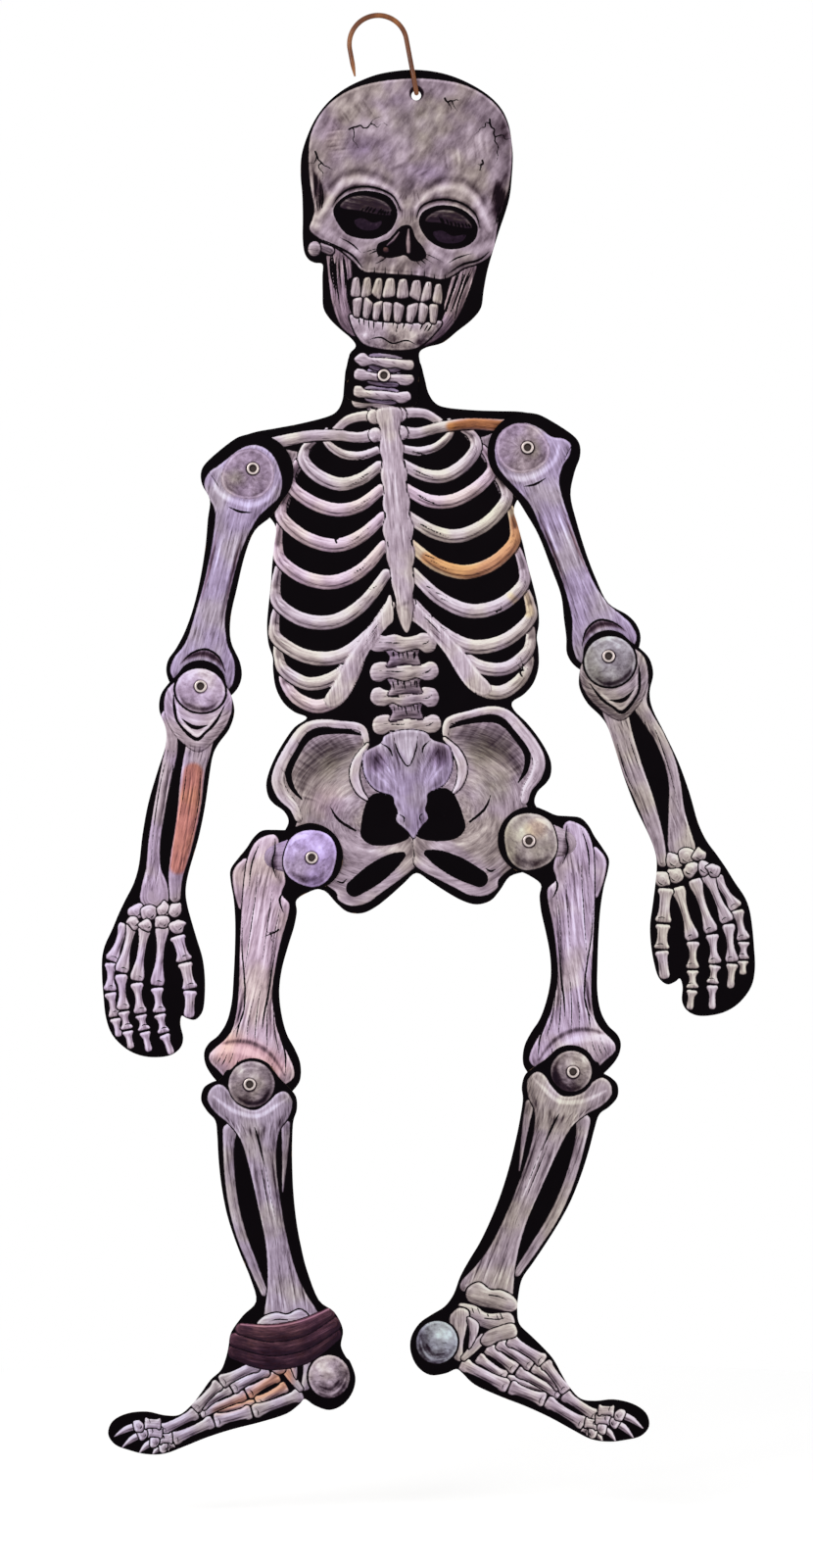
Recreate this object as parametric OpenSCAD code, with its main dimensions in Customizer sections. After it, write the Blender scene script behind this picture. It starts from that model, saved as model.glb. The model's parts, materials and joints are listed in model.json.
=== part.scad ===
// Jointed cardboard skeleton, hung up by a bent wire hook.
// Ten die-cut boards, each faced with a printed sheet, turn on nine hollow eyelets.
// The front is -Y and up is +Z. The origin is the top of the hook's bend, where it bears on its nail.
// Left and right are the viewer's. Every board is drawn flat, with x across, y up and z towards
// the viewer, from the pivot that it hangs on, and upright() then stands the whole figure up.

/* [Board] */
// Thickness of the chipboard core
core_t = 0.8; // [0.5:0.05:1.5]
// Thickness of the printed sheet glued on the core
face_t = 0.2; // [0.1:0.05:0.4]
// Gap between the two boards at the neck, hips and knees
swing_gap = 0.15; // [0.1:0.05:0.5]
// Room between the backs of the hands and the knee eyelets that they pass
pass_gap = 0.15; // [0.1:0.05:0.5]

/* [Eyelets] */
// Diameter of the flange on the printed side
flange_d = 9.5; // [8.5:0.1:13]
// Height of the flange, and of the closed end behind
flange_t = 0.4; // [0.3:0.05:0.8]
// Diameter of the closed end behind
rim_d = 8.8; // [8:0.1:12]
// Outer diameter of the barrel
barrel_d = 6.3; // [5.9:0.1:7.5]
// Bore of the hollow barrel, a cup that opens in front
bore_d = 5.3; // [4.5:0.1:5.5]
// Play around the barrel, and under the flange and the closed end
eyelet_play = 0.05; // [0.03:0.01:0.1]

/* [Hook] */
// Diameter of the lacquered wire
wire_d = 3.6; // [2.5:0.1:4.5]
// Radius of the bend that goes over the nail, at the middle of the wire
hook_r = 22; // [16:0.5:30]
// Straight length from the bend down to the crown hole
hook_leg = 42; // [32:1:60]
// Straight length from the bend down to the free tip
hook_tip = 21; // [10:1:26]
// Lean of the hook from the vertical
hook_lean = 10.7; // [0:0.1:16]
// Inner radius of the wire's tight turns through the crown hole
hook_turn = 0.2; // [0.1:0.05:0.25]
// Length of the wire's end behind the skull
hook_tail = 12; // [6:1:14]
// Room between the wire and the skull board, in front and behind
hook_room = 0.3; // [0.25:0.05:1]

/* [Skull] */
// Diameter of the punched crown hole
crown_hole_d = 7.5; // [5.5:0.1:9]
// Distance from the wire in the crown hole down to the neck eyelet
crown_rise = 217.5; // [205:0.5:240]
// Board left above the wire at the crown
crown_margin = 18; // [12:0.5:24]
// Widest part of the cranium
cranium_w = 164; // [150:1:180]
// Width across the cheekbones
cheek_w = 147; // [130:1:160]
// Width of the jaw
jaw_w = 118; // [105:1:130]
// Width of the neck tab below the jaw
neck_tab_w = 56; // [44:1:64]
// Length of the neck tab below the neck eyelet
neck_tab_drop = 22; // [14:1:28]

/* [Torso] */
// Distance between the shoulder eyelets
shoulder_span = 211; // [195:1:225]
// Drop from the neck eyelet to the shoulder eyelets
shoulder_drop = 63.5; // [58:0.5:70]
// Distance between the hip eyelets
hip_span = 167; // [155:1:180]
// Drop from the neck eyelet to the hip eyelets
hip_drop = 364; // [360:1:390]
// Width of the neck, behind the skull's neck tab
torso_neck_w = 62; // [50:1:72]
// Height of the neck above the neck eyelet
torso_neck_rise = 20; // [12:1:24]
// Widest part of the rib cage
chest_w = 208; // [190:1:222]
// Drop from the neck eyelet to the waist
waist_drop = 257; // [250:1:260]
// Width at the waist
waist_w = 158; // [140:1:175]
// Widest part of the pelvis
pelvis_w = 219; // [200:1:235]
// Shift of the pelvis to the left of the neck
pelvis_shift = 4.5; // [0:0.5:8]

/* [Arms] */
// Shoulder eyelet to elbow eyelet
upper_arm_len = 171.5; // [150:0.5:190]
// Radius of the upper arm's round head
shoulder_ball_r = 30; // [26:0.5:34]
// Width of the upper arm's shaft
upper_arm_w = 29; // [22:0.5:36]
// Offset of the left upper arm's shaft towards the body
left_arm_bow = -5; // [-8:0.5:8]
// Offset of the right upper arm's shaft towards the body
right_arm_bow = 2; // [-8:0.5:8]
// Width of the upper arm above the elbow
elbow_w = 58; // [48:1:66]
// Elbow eyelet to wrist
wrist_len = 165; // [150:1:185]
// Radius of the forearm's round top
elbow_ball_r = 20; // [16:0.5:24]
// Width of the forearm
forearm_w = 42; // [34:1:50]
// Wrist to fingertips
hand_len = 121; // [110:1:135]

/* [Legs] */
// Hip eyelet to knee eyelet
thigh_len = 180; // [165:1:200]
// Radius of the thigh's round head
hip_ball_r = 26; // [22:0.5:30]
// Width of the thigh's shaft at its middle
thigh_w = 35; // [28:1:42]
// Width of the thigh above the knee
knee_w = 76; // [66:1:86]
// Knee eyelet to the top of the foot
ankle_len = 200; // [185:1:220]
// Radius of the shin's round top
knee_ball_r = 20; // [16:0.5:24]
// Width of the calf
calf_w = 54; // [44:1:62]
// Heel to toe
foot_len = 194; // [175:1:215]
// Angle that the left toe points down
left_toe_dip = 4.5; // [0:0.5:10]
// Angle that the right toe points down
right_toe_dip = 0; // [-5:0.5:10]

/* [Pose at rest] */
// Every lean is measured from straight down, positive towards the right.
// Lean of the line from the crown down to the neck
head_lean = -6.6; // [-20:0.1:20]
// Lean of the torso
torso_lean = 4.4; // [-15:0.1:15]
// Lean of the left upper arm
left_upper_arm_lean = -13.5; // [-90:0.5:0]
// Lean of the right upper arm
right_upper_arm_lean = 21.2; // [0:0.1:90]
// Lean of the left forearm
left_forearm_lean = -11.7; // [-120:0.1:0]
// Lean of the right forearm
right_forearm_lean = 20.9; // [0:0.1:120]
// Lean of the left thigh
left_thigh_lean = -15.3; // [-60:0.1:-12]
// Lean of the right thigh
right_thigh_lean = 10.8; // [8:0.1:60]
// Lean of the left shin
left_shin_lean = 4.8; // [-60:0.1:8]
// Lean of the right shin
right_shin_lean = -16.3; // [-20:0.1:60]

/* [Hidden] */
$fn = 48;
LEFT = -1;
RIGHT = 1;
CURVE_STEPS = 4;
BOARD_COLOUR = "#8a7a66";
PRINT_COLOUR = "#a898ad";
METAL_COLOUR = "#c9c9c6";
WIRE_COLOUR = "#5a2f1c";

// Depths of the backs of the boards, from the back of the torso towards the viewer
board_t = core_t + face_t;
end_t = flange_t + eyelet_play;
torso_z = 0;
front_z = torso_z + board_t + swing_gap;
shin_z = front_z + board_t + swing_gap;
forearm_z = shin_z + board_t + end_t + pass_gap;
upper_arm_z = (torso_z + forearm_z) / 2;
wire_z = front_z + board_t + hook_room + wire_d / 2;
wire_back_z = front_z - hook_room - wire_d / 2;
turn_r = hook_turn + wire_d / 2;
hole_d = barrel_d + 2 * eyelet_play;

function turned(p, lean) = [p.x * cos(lean) - p.y * sin(lean), p.x * sin(lean) + p.y * cos(lean)];
function by_side(side, left, right) = side == LEFT ? left : right;
function polar(r, angle) = [r * cos(angle), r * sin(angle)];

// Pivots of the figure at rest
hook_centre = [0, wire_d / 2 - hook_r];
crown = hook_centre + turned([hook_r, -hook_leg], hook_lean);
neck = crown + turned([0, -crown_rise], head_lean);
function upper_arm_lean(side) = by_side(side, left_upper_arm_lean, right_upper_arm_lean);
function forearm_lean(side) = by_side(side, left_forearm_lean, right_forearm_lean);
function thigh_lean(side) = by_side(side, left_thigh_lean, right_thigh_lean);
function shin_lean(side) = by_side(side, left_shin_lean, right_shin_lean);
function shoulder(side) = neck + turned([side * shoulder_span / 2, -shoulder_drop], torso_lean);
function hip(side) = neck + turned([side * hip_span / 2, -hip_drop], torso_lean);
function elbow(side) = shoulder(side) + turned([0, -upper_arm_len], upper_arm_lean(side));
function knee(side) = hip(side) + turned([0, -thigh_len], thigh_lean(side));

// Smooth closed curve through a few chosen points
function blend4(a, b, c, d, t) =
    (2 * b + (c - a) * t + (2 * a - 5 * b + 4 * c - d) * t * t + (3 * b - a - 3 * c + d) * t * t * t) / 2;
function smooth(p) = let (n = len(p))
    [for (i = [0:n - 1], k = [0:CURVE_STEPS - 1])
        blend4(p[(i + n - 1) % n], p[i], p[(i + 1) % n], p[(i + 2) % n], k / CURVE_STEPS)];
function arc(centre, r, from, to, n) = [for (i = [0:n]) centre + polar(r, from + (to - from) * i / n)];
function mirrored(p) = [for (i = [len(p) - 1:-1:0]) [-p[i].x, p[i].y]];
function shifted(p, by) = [for (q = p) q + by];

// Limb outlines are drawn for the left side, with x towards the body
function on_side(p, side) = side == LEFT ? p : mirrored(p);

function upper_arm_outline(side) =
    let (b = shoulder_ball_r, s = upper_arm_w / 2, e = elbow_w / 2, far = -upper_arm_len)
    let (bow = [by_side(side, left_arm_bow, right_arm_bow), 0])
    concat(
        arc([2, -3], b, -30, 140, 9),
        [[-b - 4, -1], [-b - 8, -11], [-b - 5, -21], [-s - 12, -31]],
        shifted([[-s - 5, -46], [-s - 2, -66], [-s, -92], [-s, far + 57], [-s - 2, far + 38]], bow),
        [[4 - e, far + 24], [-e, far + 13], [2 - e, far + 2], [12 - e, far - 9], [-2, far - 13]],
        [[e - 14, far - 10], [e - 3, far + 1], [e, far + 13], [e - 4, far + 25]],
        shifted([[s + 5, far + 39], [s + 0.5, far + 57], [s, -92], [s, -66], [s + 3, -46]], bow),
        [[s + 8, -32]]
    );

function forearm_outline() =
    let (b = elbow_ball_r, s = forearm_w / 2, wrist = -wrist_len, tip = wrist - hand_len)
    concat(
        arc([0, 0], b, 15, 165, 6),
        [[-b - 4.5, -3], [-b - 8.5, -13], [-b - 7, -25], [-s + 1.5, -37], [-s + 4, -50]],
        [[-s + 2, -70], [-s, -95], [-s + 0.5, -120], [-s + 2.5, wrist + 22], [-s + 1.5, wrist + 7]],
        [[-s - 2, wrist - 6], [-s - 5, wrist - 18], [-s - 7.5, wrist - 31], [-s - 10.5, wrist - 44]],
        [[-s - 10.5, wrist - 55], [-s - 7.5, wrist - 69], [-24.5, tip + 38], [-19.5, tip + 23]],
        [[-12, tip + 11], [0, tip + 3], [12, tip], [24, tip + 1], [35, tip + 5], [41, tip + 12]],
        [[41.5, tip + 20], [37.5, wrist - 92], [37, wrist - 85], [41.5, wrist - 86], [48, wrist - 85.5]],
        [[52, wrist - 78], [51, wrist - 65], [48, wrist - 51], [43.5, wrist - 38], [37, wrist - 26]],
        [[30, wrist - 13], [s + 3, wrist - 1], [s - 0.5, wrist + 10], [s - 1, wrist + 25]],
        [[s + 1, -115], [s + 1, -90], [s - 0.5, -66], [s - 1, -50], [s + 1.5, -40], [b + 8, -28]],
        [[b + 9.5, -15], [b + 6, -5]]
    );

function thigh_outline() =
    let (b = hip_ball_r, s = thigh_w / 2, k = knee_w / 2, far = -thigh_len)
    concat(
        arc([-2, 0], b, -70, 105, 9),
        [[-16, b - 5], [-24, b - 10.5], [-33, b - 13], [-42, b - 16], [-47, 3], [-50, -6], [-54, -15]],
        [[-57.5, -25], [-55, -34], [-s - 31.5, -47], [-s - 26, -63], [-s - 21, -82], [-s - 16.5, far + 78]],
        [[-s - 12.5, far + 58], [-s - 12, far + 42], [5 - k, far + 30], [-k - 0.5, far + 22]],
        [[-k - 2, far + 14], [2 - k, far + 5], [11 - k, far - 3], [24 - k, far - 10], [2, far - 12]],
        [[k - 20, far - 9], [k - 9, far - 2], [k - 2.5, far + 9], [k - 2, far + 17], [k - 5.5, far + 27]],
        [[k - 12.5, far + 36], [k - 21, far + 45], [s - 8.5, far + 59], [s - 14.5, far + 75]],
        [[s - 17, -88], [s - 17, -70], [s - 16.5, -55], [s - 17.5, -43], [s - 20, -34]]
    );

// The left ankle carries a wrap that the board widens for
function ankle_front(side) = let (ankle = -ankle_len) by_side(side,
    [[-9, ankle + 34], [-20, ankle + 24], [-30, ankle + 12], [-33, ankle + 1], [-36, ankle - 8]],
    [[-7, ankle + 37], [-8, ankle + 23], [-10.5, ankle + 12], [-15, ankle + 3], [-26, ankle - 3]]);
function ankle_back(side) = let (ankle = -ankle_len) by_side(side,
    [[56, ankle - 14], [53, ankle - 5], [55.5, ankle + 7], [50, ankle + 21], [39, ankle + 31]],
    [[52, ankle - 9], [44, ankle], [40, ankle + 11], [39, ankle + 25], [36, ankle + 39]]);

// Toe and sole, turned about the heel
function foot(side) =
    let (ankle = -ankle_len, toe = 62 - foot_len, heel = [40, ankle - 30])
    let (dip = by_side(side, left_toe_dip, right_toe_dip))
    [for (p = concat(
        [[-39, ankle - 10], [-48, ankle - 16], [-57, ankle - 25], [-66, ankle - 33], [-76, ankle - 38.5]],
        [[toe + 45, ankle - 37], [toe + 32, ankle - 32], [toe + 17, ankle - 31], [toe + 5, ankle - 35]],
        [[toe, ankle - 44], [toe + 4, ankle - 53], [toe + 14, ankle - 59], [toe + 26, ankle - 64]],
        [[toe + 40, ankle - 66], [-76, ankle - 63], [-58, ankle - 59], [-38, ankle - 56], [-15, ankle - 54]],
        [[5, ankle - 51], [16, ankle - 45.5]]
    )) heel + turned(p - heel, dip)];

function shin_outline(side) =
    let (b = knee_ball_r, s = calf_w / 2, ankle = -ankle_len)
    concat(
        arc([2, 0], b, 20, 140, 5),
        [[3 - b, 12], [-b - 2, 6], [-b - 9, 4], [-b - 15.5, 0], [-b - 18, -9], [-b - 14, -18]],
        [[-s - 1.5, -25.5], [-s - 1, -37], [-s - 1.5, -55], [-s - 1, -75], [1 - s, -95]],
        [[-22.5, ankle + 88], [-17.5, ankle + 70], [-11.5, ankle + 51]],
        ankle_front(side),
        foot(side),
        [[22, ankle - 43.5], [29, ankle - 49], [40, ankle - 53.5]],
        [[51, ankle - 50], [59, ankle - 41], [62, ankle - 30], [59, ankle - 18]],
        ankle_back(side),
        [[s + 5, ankle + 54], [s + 2, ankle + 72], [s, ankle + 92], [s - 0.5, -85], [s + 0.5, -62]],
        [[s + 2, -45], [s + 4, -31], [b + 14.5, -22], [b + 14.5, -12], [b + 9, -4], [b + 4, 2]]
    );

// The head is drawn from the neck eyelet up, right side first
function skull_outline() =
    let (top = crown_rise + crown_margin, c = cranium_w / 2, k = cheek_w / 2)
    let (j = jaw_w / 2, n = neck_tab_w / 2)
    concat(
        [[n - 1, 10], [n - 3, 20], [n + 2, 25], [j - 17, 30], [j - 7, 40], [j + 3, 50], [j + 9, 60]],
        [[k - 5, 73], [k - 4, 88], [k - 1.5, 104], [c - 7, 120], [c - 4, 134], [c - 2, 147]],
        [[c - 2, top - 75], [c - 3, top - 58], [c - 5.5, top - 46], [c - 9, top - 34], [c - 15.5, top - 23]],
        [[c - 26, top - 14], [c - 40, top - 7], [c - 56, top - 2], [10, top], [-8, top - 1]],
        [[54 - c, top - 6], [40 - c, top - 12.5], [27 - c, top - 21], [16 - c, top - 32], [8 - c, top - 45]],
        [[3 - c, top - 59], [-c, top - 75], [1 - c, 145], [4 - c, 130], [-k - 2, 112], [-k - 0.5, 98]],
        [[2 - k, 87], [6 - k, 81.5], [11 - k, 79.5], [2.5 - j, 79], [3.5 - j, 70], [5 - j, 58]],
        [[7 - j, 46], [13 - j, 38], [22 - j, 31], [31 - j, 25], [4 - n, 19.5]],
        [[-n, 13], [-n, 3], [1.5 - n, -5], [-n - 1, -14], [3 - n, 1 - neck_tab_drop]],
        [[14 - n, -neck_tab_drop - 1], [0, -neck_tab_drop], [n - 13, -neck_tab_drop - 1]],
        [[n - 3, 1 - neck_tab_drop], [n, -14], [n - 1, -2]]
    );

// Right half of the torso: neck and shoulder, then ribs, then pelvis
function thorax_side() =
    let (n = torso_neck_w / 2, sh = [shoulder_span / 2, -shoulder_drop], c = chest_w / 2, w = -waist_drop)
    concat(
        [[waist_w / 2, w], [c - 16, w + 5], [c - 8, w + 13], [c - 3, w + 25], [c - 2, w + 39]],
        [[c - 2.5, w + 48], [c, w + 59], [c, w + 73], [c - 2.5, w + 89]],
        [[c - 5.5, sh.y - 88.5], [c - 7.5, sh.y - 74.5], [c - 10.5, sh.y - 58.5]],
        shifted([[-14, -46], [-7, -35], [6, -25], [16, -13], [21, 1], [19, 13], [12, 22.5], [-2, 27.5]], sh),
        shifted([[-20, 29.5], [-38, 31.5]], sh),
        [[n + 16, -28.5], [n + 7, -24.5], [n + 2, -16], [n, -5], [n - 3, torso_neck_rise - 11]],
        [[n - 11, torso_neck_rise - 1]]
    );
function pelvis_side() =
    let (hp = [hip_span / 2, -hip_drop], p = pelvis_w / 2, h = -hip_drop)
    concat(
        [[0, h - 18], [10, h - 25], [21, h - 33.5], [33, h - 41.5], [44, h - 45.5], [55, h - 43.5]],
        shifted([[-20.5, -36], [-12, -26], [2, -22.5], [14, -15], [20, -3], [20, 10]], hp),
        shifted([[15, 21], [11, 29]], hp),
        [[p - 12, h + 37], [p - 5, h + 43], [p - 1, h + 49], [p, h + 58], [p - 2.5, h + 67]],
        [[p - 8, h + 78], [p - 16, h + 90], [p - 25, h + 100.5]]
    );
function torso_outline() =
    let (pelvis = pelvis_side(), shift = [-pelvis_shift, 0])
    concat(
        shifted(pelvis, shift),
        thorax_side(),
        mirrored(thorax_side()),
        shifted(mirrored([for (i = [1:len(pelvis) - 1]) pelvis[i]]), shift)
    );

// Stands the flat figure up with the hook's wire at y = 0
module upright() {
    rotate([90, 0, 0])
        translate([0, 0, -wire_z])
            children();
}

module at_pivot(pivot, lean, z) {
    upright()
        translate([pivot.x, pivot.y, z])
            rotate(lean)
                children();
}

// A die-cut slab, punched at each hole of the list [x, y, diameter]
module punched(outline, holes, t) {
    difference() {
        linear_extrude(t)
            polygon(smooth(outline));
        for (h = holes)
            translate([h.x, h.y, -1])
                cylinder(d = h.z, h = t + 2);
    }
}

// One of a board's two layers: its chipboard core or the printed sheet on it
module layer(printed, outline, holes) {
    if (printed) {
        color(PRINT_COLOUR)
            translate([0, 0, core_t])
                punched(outline, holes, face_t);
    } else {
        color(BOARD_COLOUR)
            punched(outline, holes, core_t);
    }
}

own_hole = [0, 0, hole_d];
crown_hole = [0, crown_rise + wire_d / 2 + eyelet_play - crown_hole_d / 2, crown_hole_d];
torso_holes = concat(
    [own_hole],
    [for (side = [LEFT, RIGHT]) [side * shoulder_span / 2, -shoulder_drop, hole_d]],
    [for (side = [LEFT, RIGHT]) [side * hip_span / 2, -hip_drop, hole_d]]
);

module skull(printed) {
    at_pivot(neck, head_lean, front_z)
        layer(printed, skull_outline(), [own_hole, crown_hole]);
}

module torso(printed) {
    at_pivot(neck, torso_lean, torso_z)
        layer(printed, torso_outline(), torso_holes);
}

module upper_arm(side, printed) {
    at_pivot(shoulder(side), upper_arm_lean(side), upper_arm_z)
        layer(printed, on_side(upper_arm_outline(side), side), [own_hole, [0, -upper_arm_len, hole_d]]);
}

module forearm(side, printed) {
    at_pivot(elbow(side), forearm_lean(side), forearm_z)
        layer(printed, on_side(forearm_outline(), side), [own_hole]);
}

module thigh(side, printed) {
    at_pivot(hip(side), thigh_lean(side), front_z)
        layer(printed, on_side(thigh_outline(), side), [own_hole, [0, -thigh_len, hole_d]]);
}

module shin(side, printed) {
    at_pivot(knee(side), shin_lean(side), shin_z)
        layer(printed, on_side(shin_outline(side), side), [own_hole]);
}

// A hollow eyelet: a flange on the printed side, a barrel through both boards, closed behind
module eyelet(pivot, rear_board_z, front_board_z) {
    bore = bore_d / 2;
    barrel = barrel_d / 2;
    flange = flange_d / 2;
    rim = rim_d / 2;
    low = rear_board_z - eyelet_play;
    high = front_board_z + board_t + eyelet_play;
    edge = flange_t / 4;
    color(METAL_COLOUR)
        at_pivot(pivot, 0, 0)
            rotate_extrude()
                polygon([
                    [0, low - flange_t], [rim - edge, low - flange_t], [rim, low - flange_t / 2],
                    [rim - edge, low], [barrel, low], [barrel, high], [flange, high],
                    [flange, high + edge], [flange - 3 * edge, high + flange_t], [bore, high + flange_t],
                    [bore, low], [0, low]
                ]);
}

module round_wire(length) {
    cylinder(d = wire_d, h = length);
}

// A bend of the wire about the z axis, from the x axis round
module bent_wire(r, angle) {
    rotate_extrude(angle = angle)
        translate([r, 0])
            circle(d = wire_d);
}

// The hook, from its free tip over the nail and down to the crown, through the hole and up behind
module hanging_hook() {
    pass = wire_z - wire_back_z - 2 * turn_r;
    color(WIRE_COLOUR)
        upright()
            translate([hook_centre.x, hook_centre.y, wire_z])
                rotate(hook_lean) {
                    bent_wire(hook_r, 180);
                    translate([-hook_r, -hook_tip, 0])
                        rotate([-90, 0, 0])
                            round_wire(hook_tip);
                    translate([hook_r, turn_r - hook_leg, 0]) {
                        rotate([-90, 0, 0])
                            round_wire(hook_leg - turn_r);
                        translate([0, 0, -turn_r])
                            rotate([0, -90, 0])
                                rotate(-90)
                                    bent_wire(turn_r, 90);
                        translate([0, -turn_r, -turn_r - pass])
                            round_wire(pass);
                        translate([0, 0, -turn_r - pass])
                            rotate([0, -90, 0])
                                rotate(180)
                                    bent_wire(turn_r, 90);
                        translate([0, 0, -2 * turn_r - pass])
                            rotate([-90, 0, 0])
                                round_wire(hook_tail);
                    }
                }
}

hanging_hook();
skull(false);  // skull_board
skull(true);  // skull_print
torso(false);  // torso_board
torso(true);  // torso_print
upper_arm(LEFT, false);  // left_upper_arm_board
upper_arm(LEFT, true);  // left_upper_arm_print
upper_arm(RIGHT, false);  // right_upper_arm_board
upper_arm(RIGHT, true);  // right_upper_arm_print
forearm(LEFT, false);  // left_forearm_board
forearm(LEFT, true);  // left_forearm_print
forearm(RIGHT, false);  // right_forearm_board
forearm(RIGHT, true);  // right_forearm_print
thigh(LEFT, false);  // left_thigh_board
thigh(LEFT, true);  // left_thigh_print
thigh(RIGHT, false);  // right_thigh_board
thigh(RIGHT, true);  // right_thigh_print
shin(LEFT, false);  // left_shin_board
shin(LEFT, true);  // left_shin_print
shin(RIGHT, false);  // right_shin_board
shin(RIGHT, true);  // right_shin_print
eyelet(neck, torso_z, front_z);  // neck_eyelet
eyelet(shoulder(LEFT), torso_z, upper_arm_z);  // left_shoulder_eyelet
eyelet(shoulder(RIGHT), torso_z, upper_arm_z);  // right_shoulder_eyelet
eyelet(elbow(LEFT), upper_arm_z, forearm_z);  // left_elbow_eyelet
eyelet(elbow(RIGHT), upper_arm_z, forearm_z);  // right_elbow_eyelet
eyelet(hip(LEFT), torso_z, front_z);  // left_hip_eyelet
eyelet(hip(RIGHT), torso_z, front_z);  // right_hip_eyelet
eyelet(knee(LEFT), front_z, shin_z);  // left_knee_eyelet
eyelet(knee(RIGHT), front_z, shin_z);  // right_knee_eyelet
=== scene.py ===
"""Looks of a jointed cardboard skeleton: printed sheets, chipboard, eyelets and a lacquered wire hook."""
import json
import math
from collections import namedtuple

import bpy
import numpy as np
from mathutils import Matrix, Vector
from mathutils.geometry import delaunay_2d_cdt


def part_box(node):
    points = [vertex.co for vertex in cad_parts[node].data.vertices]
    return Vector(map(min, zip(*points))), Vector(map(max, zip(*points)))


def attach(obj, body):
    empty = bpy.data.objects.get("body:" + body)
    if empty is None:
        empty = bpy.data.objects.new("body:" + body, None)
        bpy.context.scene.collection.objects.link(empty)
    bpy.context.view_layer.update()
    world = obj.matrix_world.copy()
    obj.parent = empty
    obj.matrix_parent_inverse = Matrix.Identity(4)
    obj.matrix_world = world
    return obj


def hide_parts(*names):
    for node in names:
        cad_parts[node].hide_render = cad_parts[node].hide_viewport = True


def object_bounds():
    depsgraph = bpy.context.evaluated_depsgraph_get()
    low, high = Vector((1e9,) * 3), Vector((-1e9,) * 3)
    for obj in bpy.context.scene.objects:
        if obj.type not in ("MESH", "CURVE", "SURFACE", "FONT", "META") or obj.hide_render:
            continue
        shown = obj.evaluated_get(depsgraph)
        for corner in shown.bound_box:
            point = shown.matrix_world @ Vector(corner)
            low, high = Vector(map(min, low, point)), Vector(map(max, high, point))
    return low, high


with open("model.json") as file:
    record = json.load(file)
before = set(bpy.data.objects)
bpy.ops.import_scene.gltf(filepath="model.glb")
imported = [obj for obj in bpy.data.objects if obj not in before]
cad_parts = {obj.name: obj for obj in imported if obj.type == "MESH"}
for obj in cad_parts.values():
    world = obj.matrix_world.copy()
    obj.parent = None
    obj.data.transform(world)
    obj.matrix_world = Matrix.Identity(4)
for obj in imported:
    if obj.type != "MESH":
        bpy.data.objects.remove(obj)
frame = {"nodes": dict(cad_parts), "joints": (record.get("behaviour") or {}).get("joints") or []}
cad_low, cad_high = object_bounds()

MM = 0.001
LEFT, RIGHT = -1, 1

# The photograph's frame: its size in pixels, the millimetres that a pixel covers, and the hook seat's pixel
PHOTO_W, PHOTO_H = 830, 1600
PIXEL_MM = 0.75
SEAT_PX, SEAT_PY = 386, 18.1

# Leans from straight down, in degrees, of the boards that carry only one eyelet
FOREARM_LEAN = {LEFT: -11.7, RIGHT: 20.9}
SHIN_LEAN = {LEFT: 4.8, RIGHT: -16.3}
# The dip of each foot about its heel, in degrees, and the heel's place on the shin's board
TOE_DIP = {LEFT: 4.5, RIGHT: 0}
HEEL = (40, -230)
# How the shares of a colour that the eye sees bend to Blender's
EYE_CURVE = 2.2


def wash(red, green, blue):
    """A tint that multiplies a painted colour, given as the shares that the eye sees."""
    return red ** EYE_CURVE, green ** EYE_CURVE, blue ** EYE_CURVE


# Tints of the painted bone
PLAIN = wash(1, 1, 1)
CREAM = wash(1.0, 1.01, 0.97)
PINK = wash(1.03, 0.99, 1.02)
MAUVE = wash(1.0, 0.98, 1.05)
BLUE = wash(0.98, 0.98, 1.09)
GREY = wash(0.975, 0.985, 0.965)
ASH = wash(0.97, 0.98, 1.02)
SLATE = wash(0.94, 1.0, 0.98)
VIOLET = wash(0.97, 0.93, 1.09)
TEAL = wash(0.90, 1.0, 1.03)
OLIVE = wash(0.97, 1.0, 0.92)
BRIGHT_VIOLET = wash(1.0, 0.97, 1.17)
OCHRE = wash(1.03, 1.0, 0.84)
RUST = wash(0.98, 0.72, 0.46)
CORAL = wash(1.06, 0.76, 0.64)
UMBER = wash(0.85, 0.70, 0.62)
PLUM = wash(0.78, 0.60, 0.66)

# Depth, in mm, that bare black ground counts as ink
GROUND = 6.0
# How far from a cut edge, in mm, wear is reckoned
WEAR_REACH = 3.0
# How far round a form its soft edge is reckoned, in mm, and stand-ins for a far-off place and a zero length
FORM_REACH, FAR, TINY = 3.0, 1e3, 1e-9
# Ranges that a brush mark varies in: its length, width and sway, and a dab's size, flatness and soft edge
MARK_LENGTH, MARK_WIDTH, MARK_SWAY = (0.55, 1.05), (0.6, 1.2), (-0.05, 0.05)
DAB_SIZE, DAB_FLAT, DAB_SOFT = (0.6, 1.3), (0.4, 0.8), 0.35
# A crack's steps, in mm, and how far each may turn, in degrees
CRACK_STEP, CRACK_TURN = 3, 50
# A sheet's net: the clear space inside a cut, in steps of its grid, and how near two points may lie, in mm
NET_CLEAR, NET_WELD = 0.55, 1e-7
# A sheet's flat layout: margin and size of its face, spread of the cut edges, place and size of its back
FACE_MARGIN, FACE_SIZE, EDGE_SPREAD, BACK_PLACE, BACK_SIZE = 0.03, 0.94, 0.006, 0.985, 0.012
# Eyelets, in mm: the cup's radius, the barrel's, the closed end's, and the height of the flange
CUP_R, BARREL_R, END_R, FLANGE_T = 2.65, 3.15, 4.4, 0.4
# How many sides an eyelet has, and steps over its rolled flange
EYELET_SIDES, ROLL_STEPS = 48, 11
# Angles, in degrees, under which the edges of an eyelet and of the wire look round
EYELET_ROUND, WIRE_ROUND = 40, 50
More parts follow.
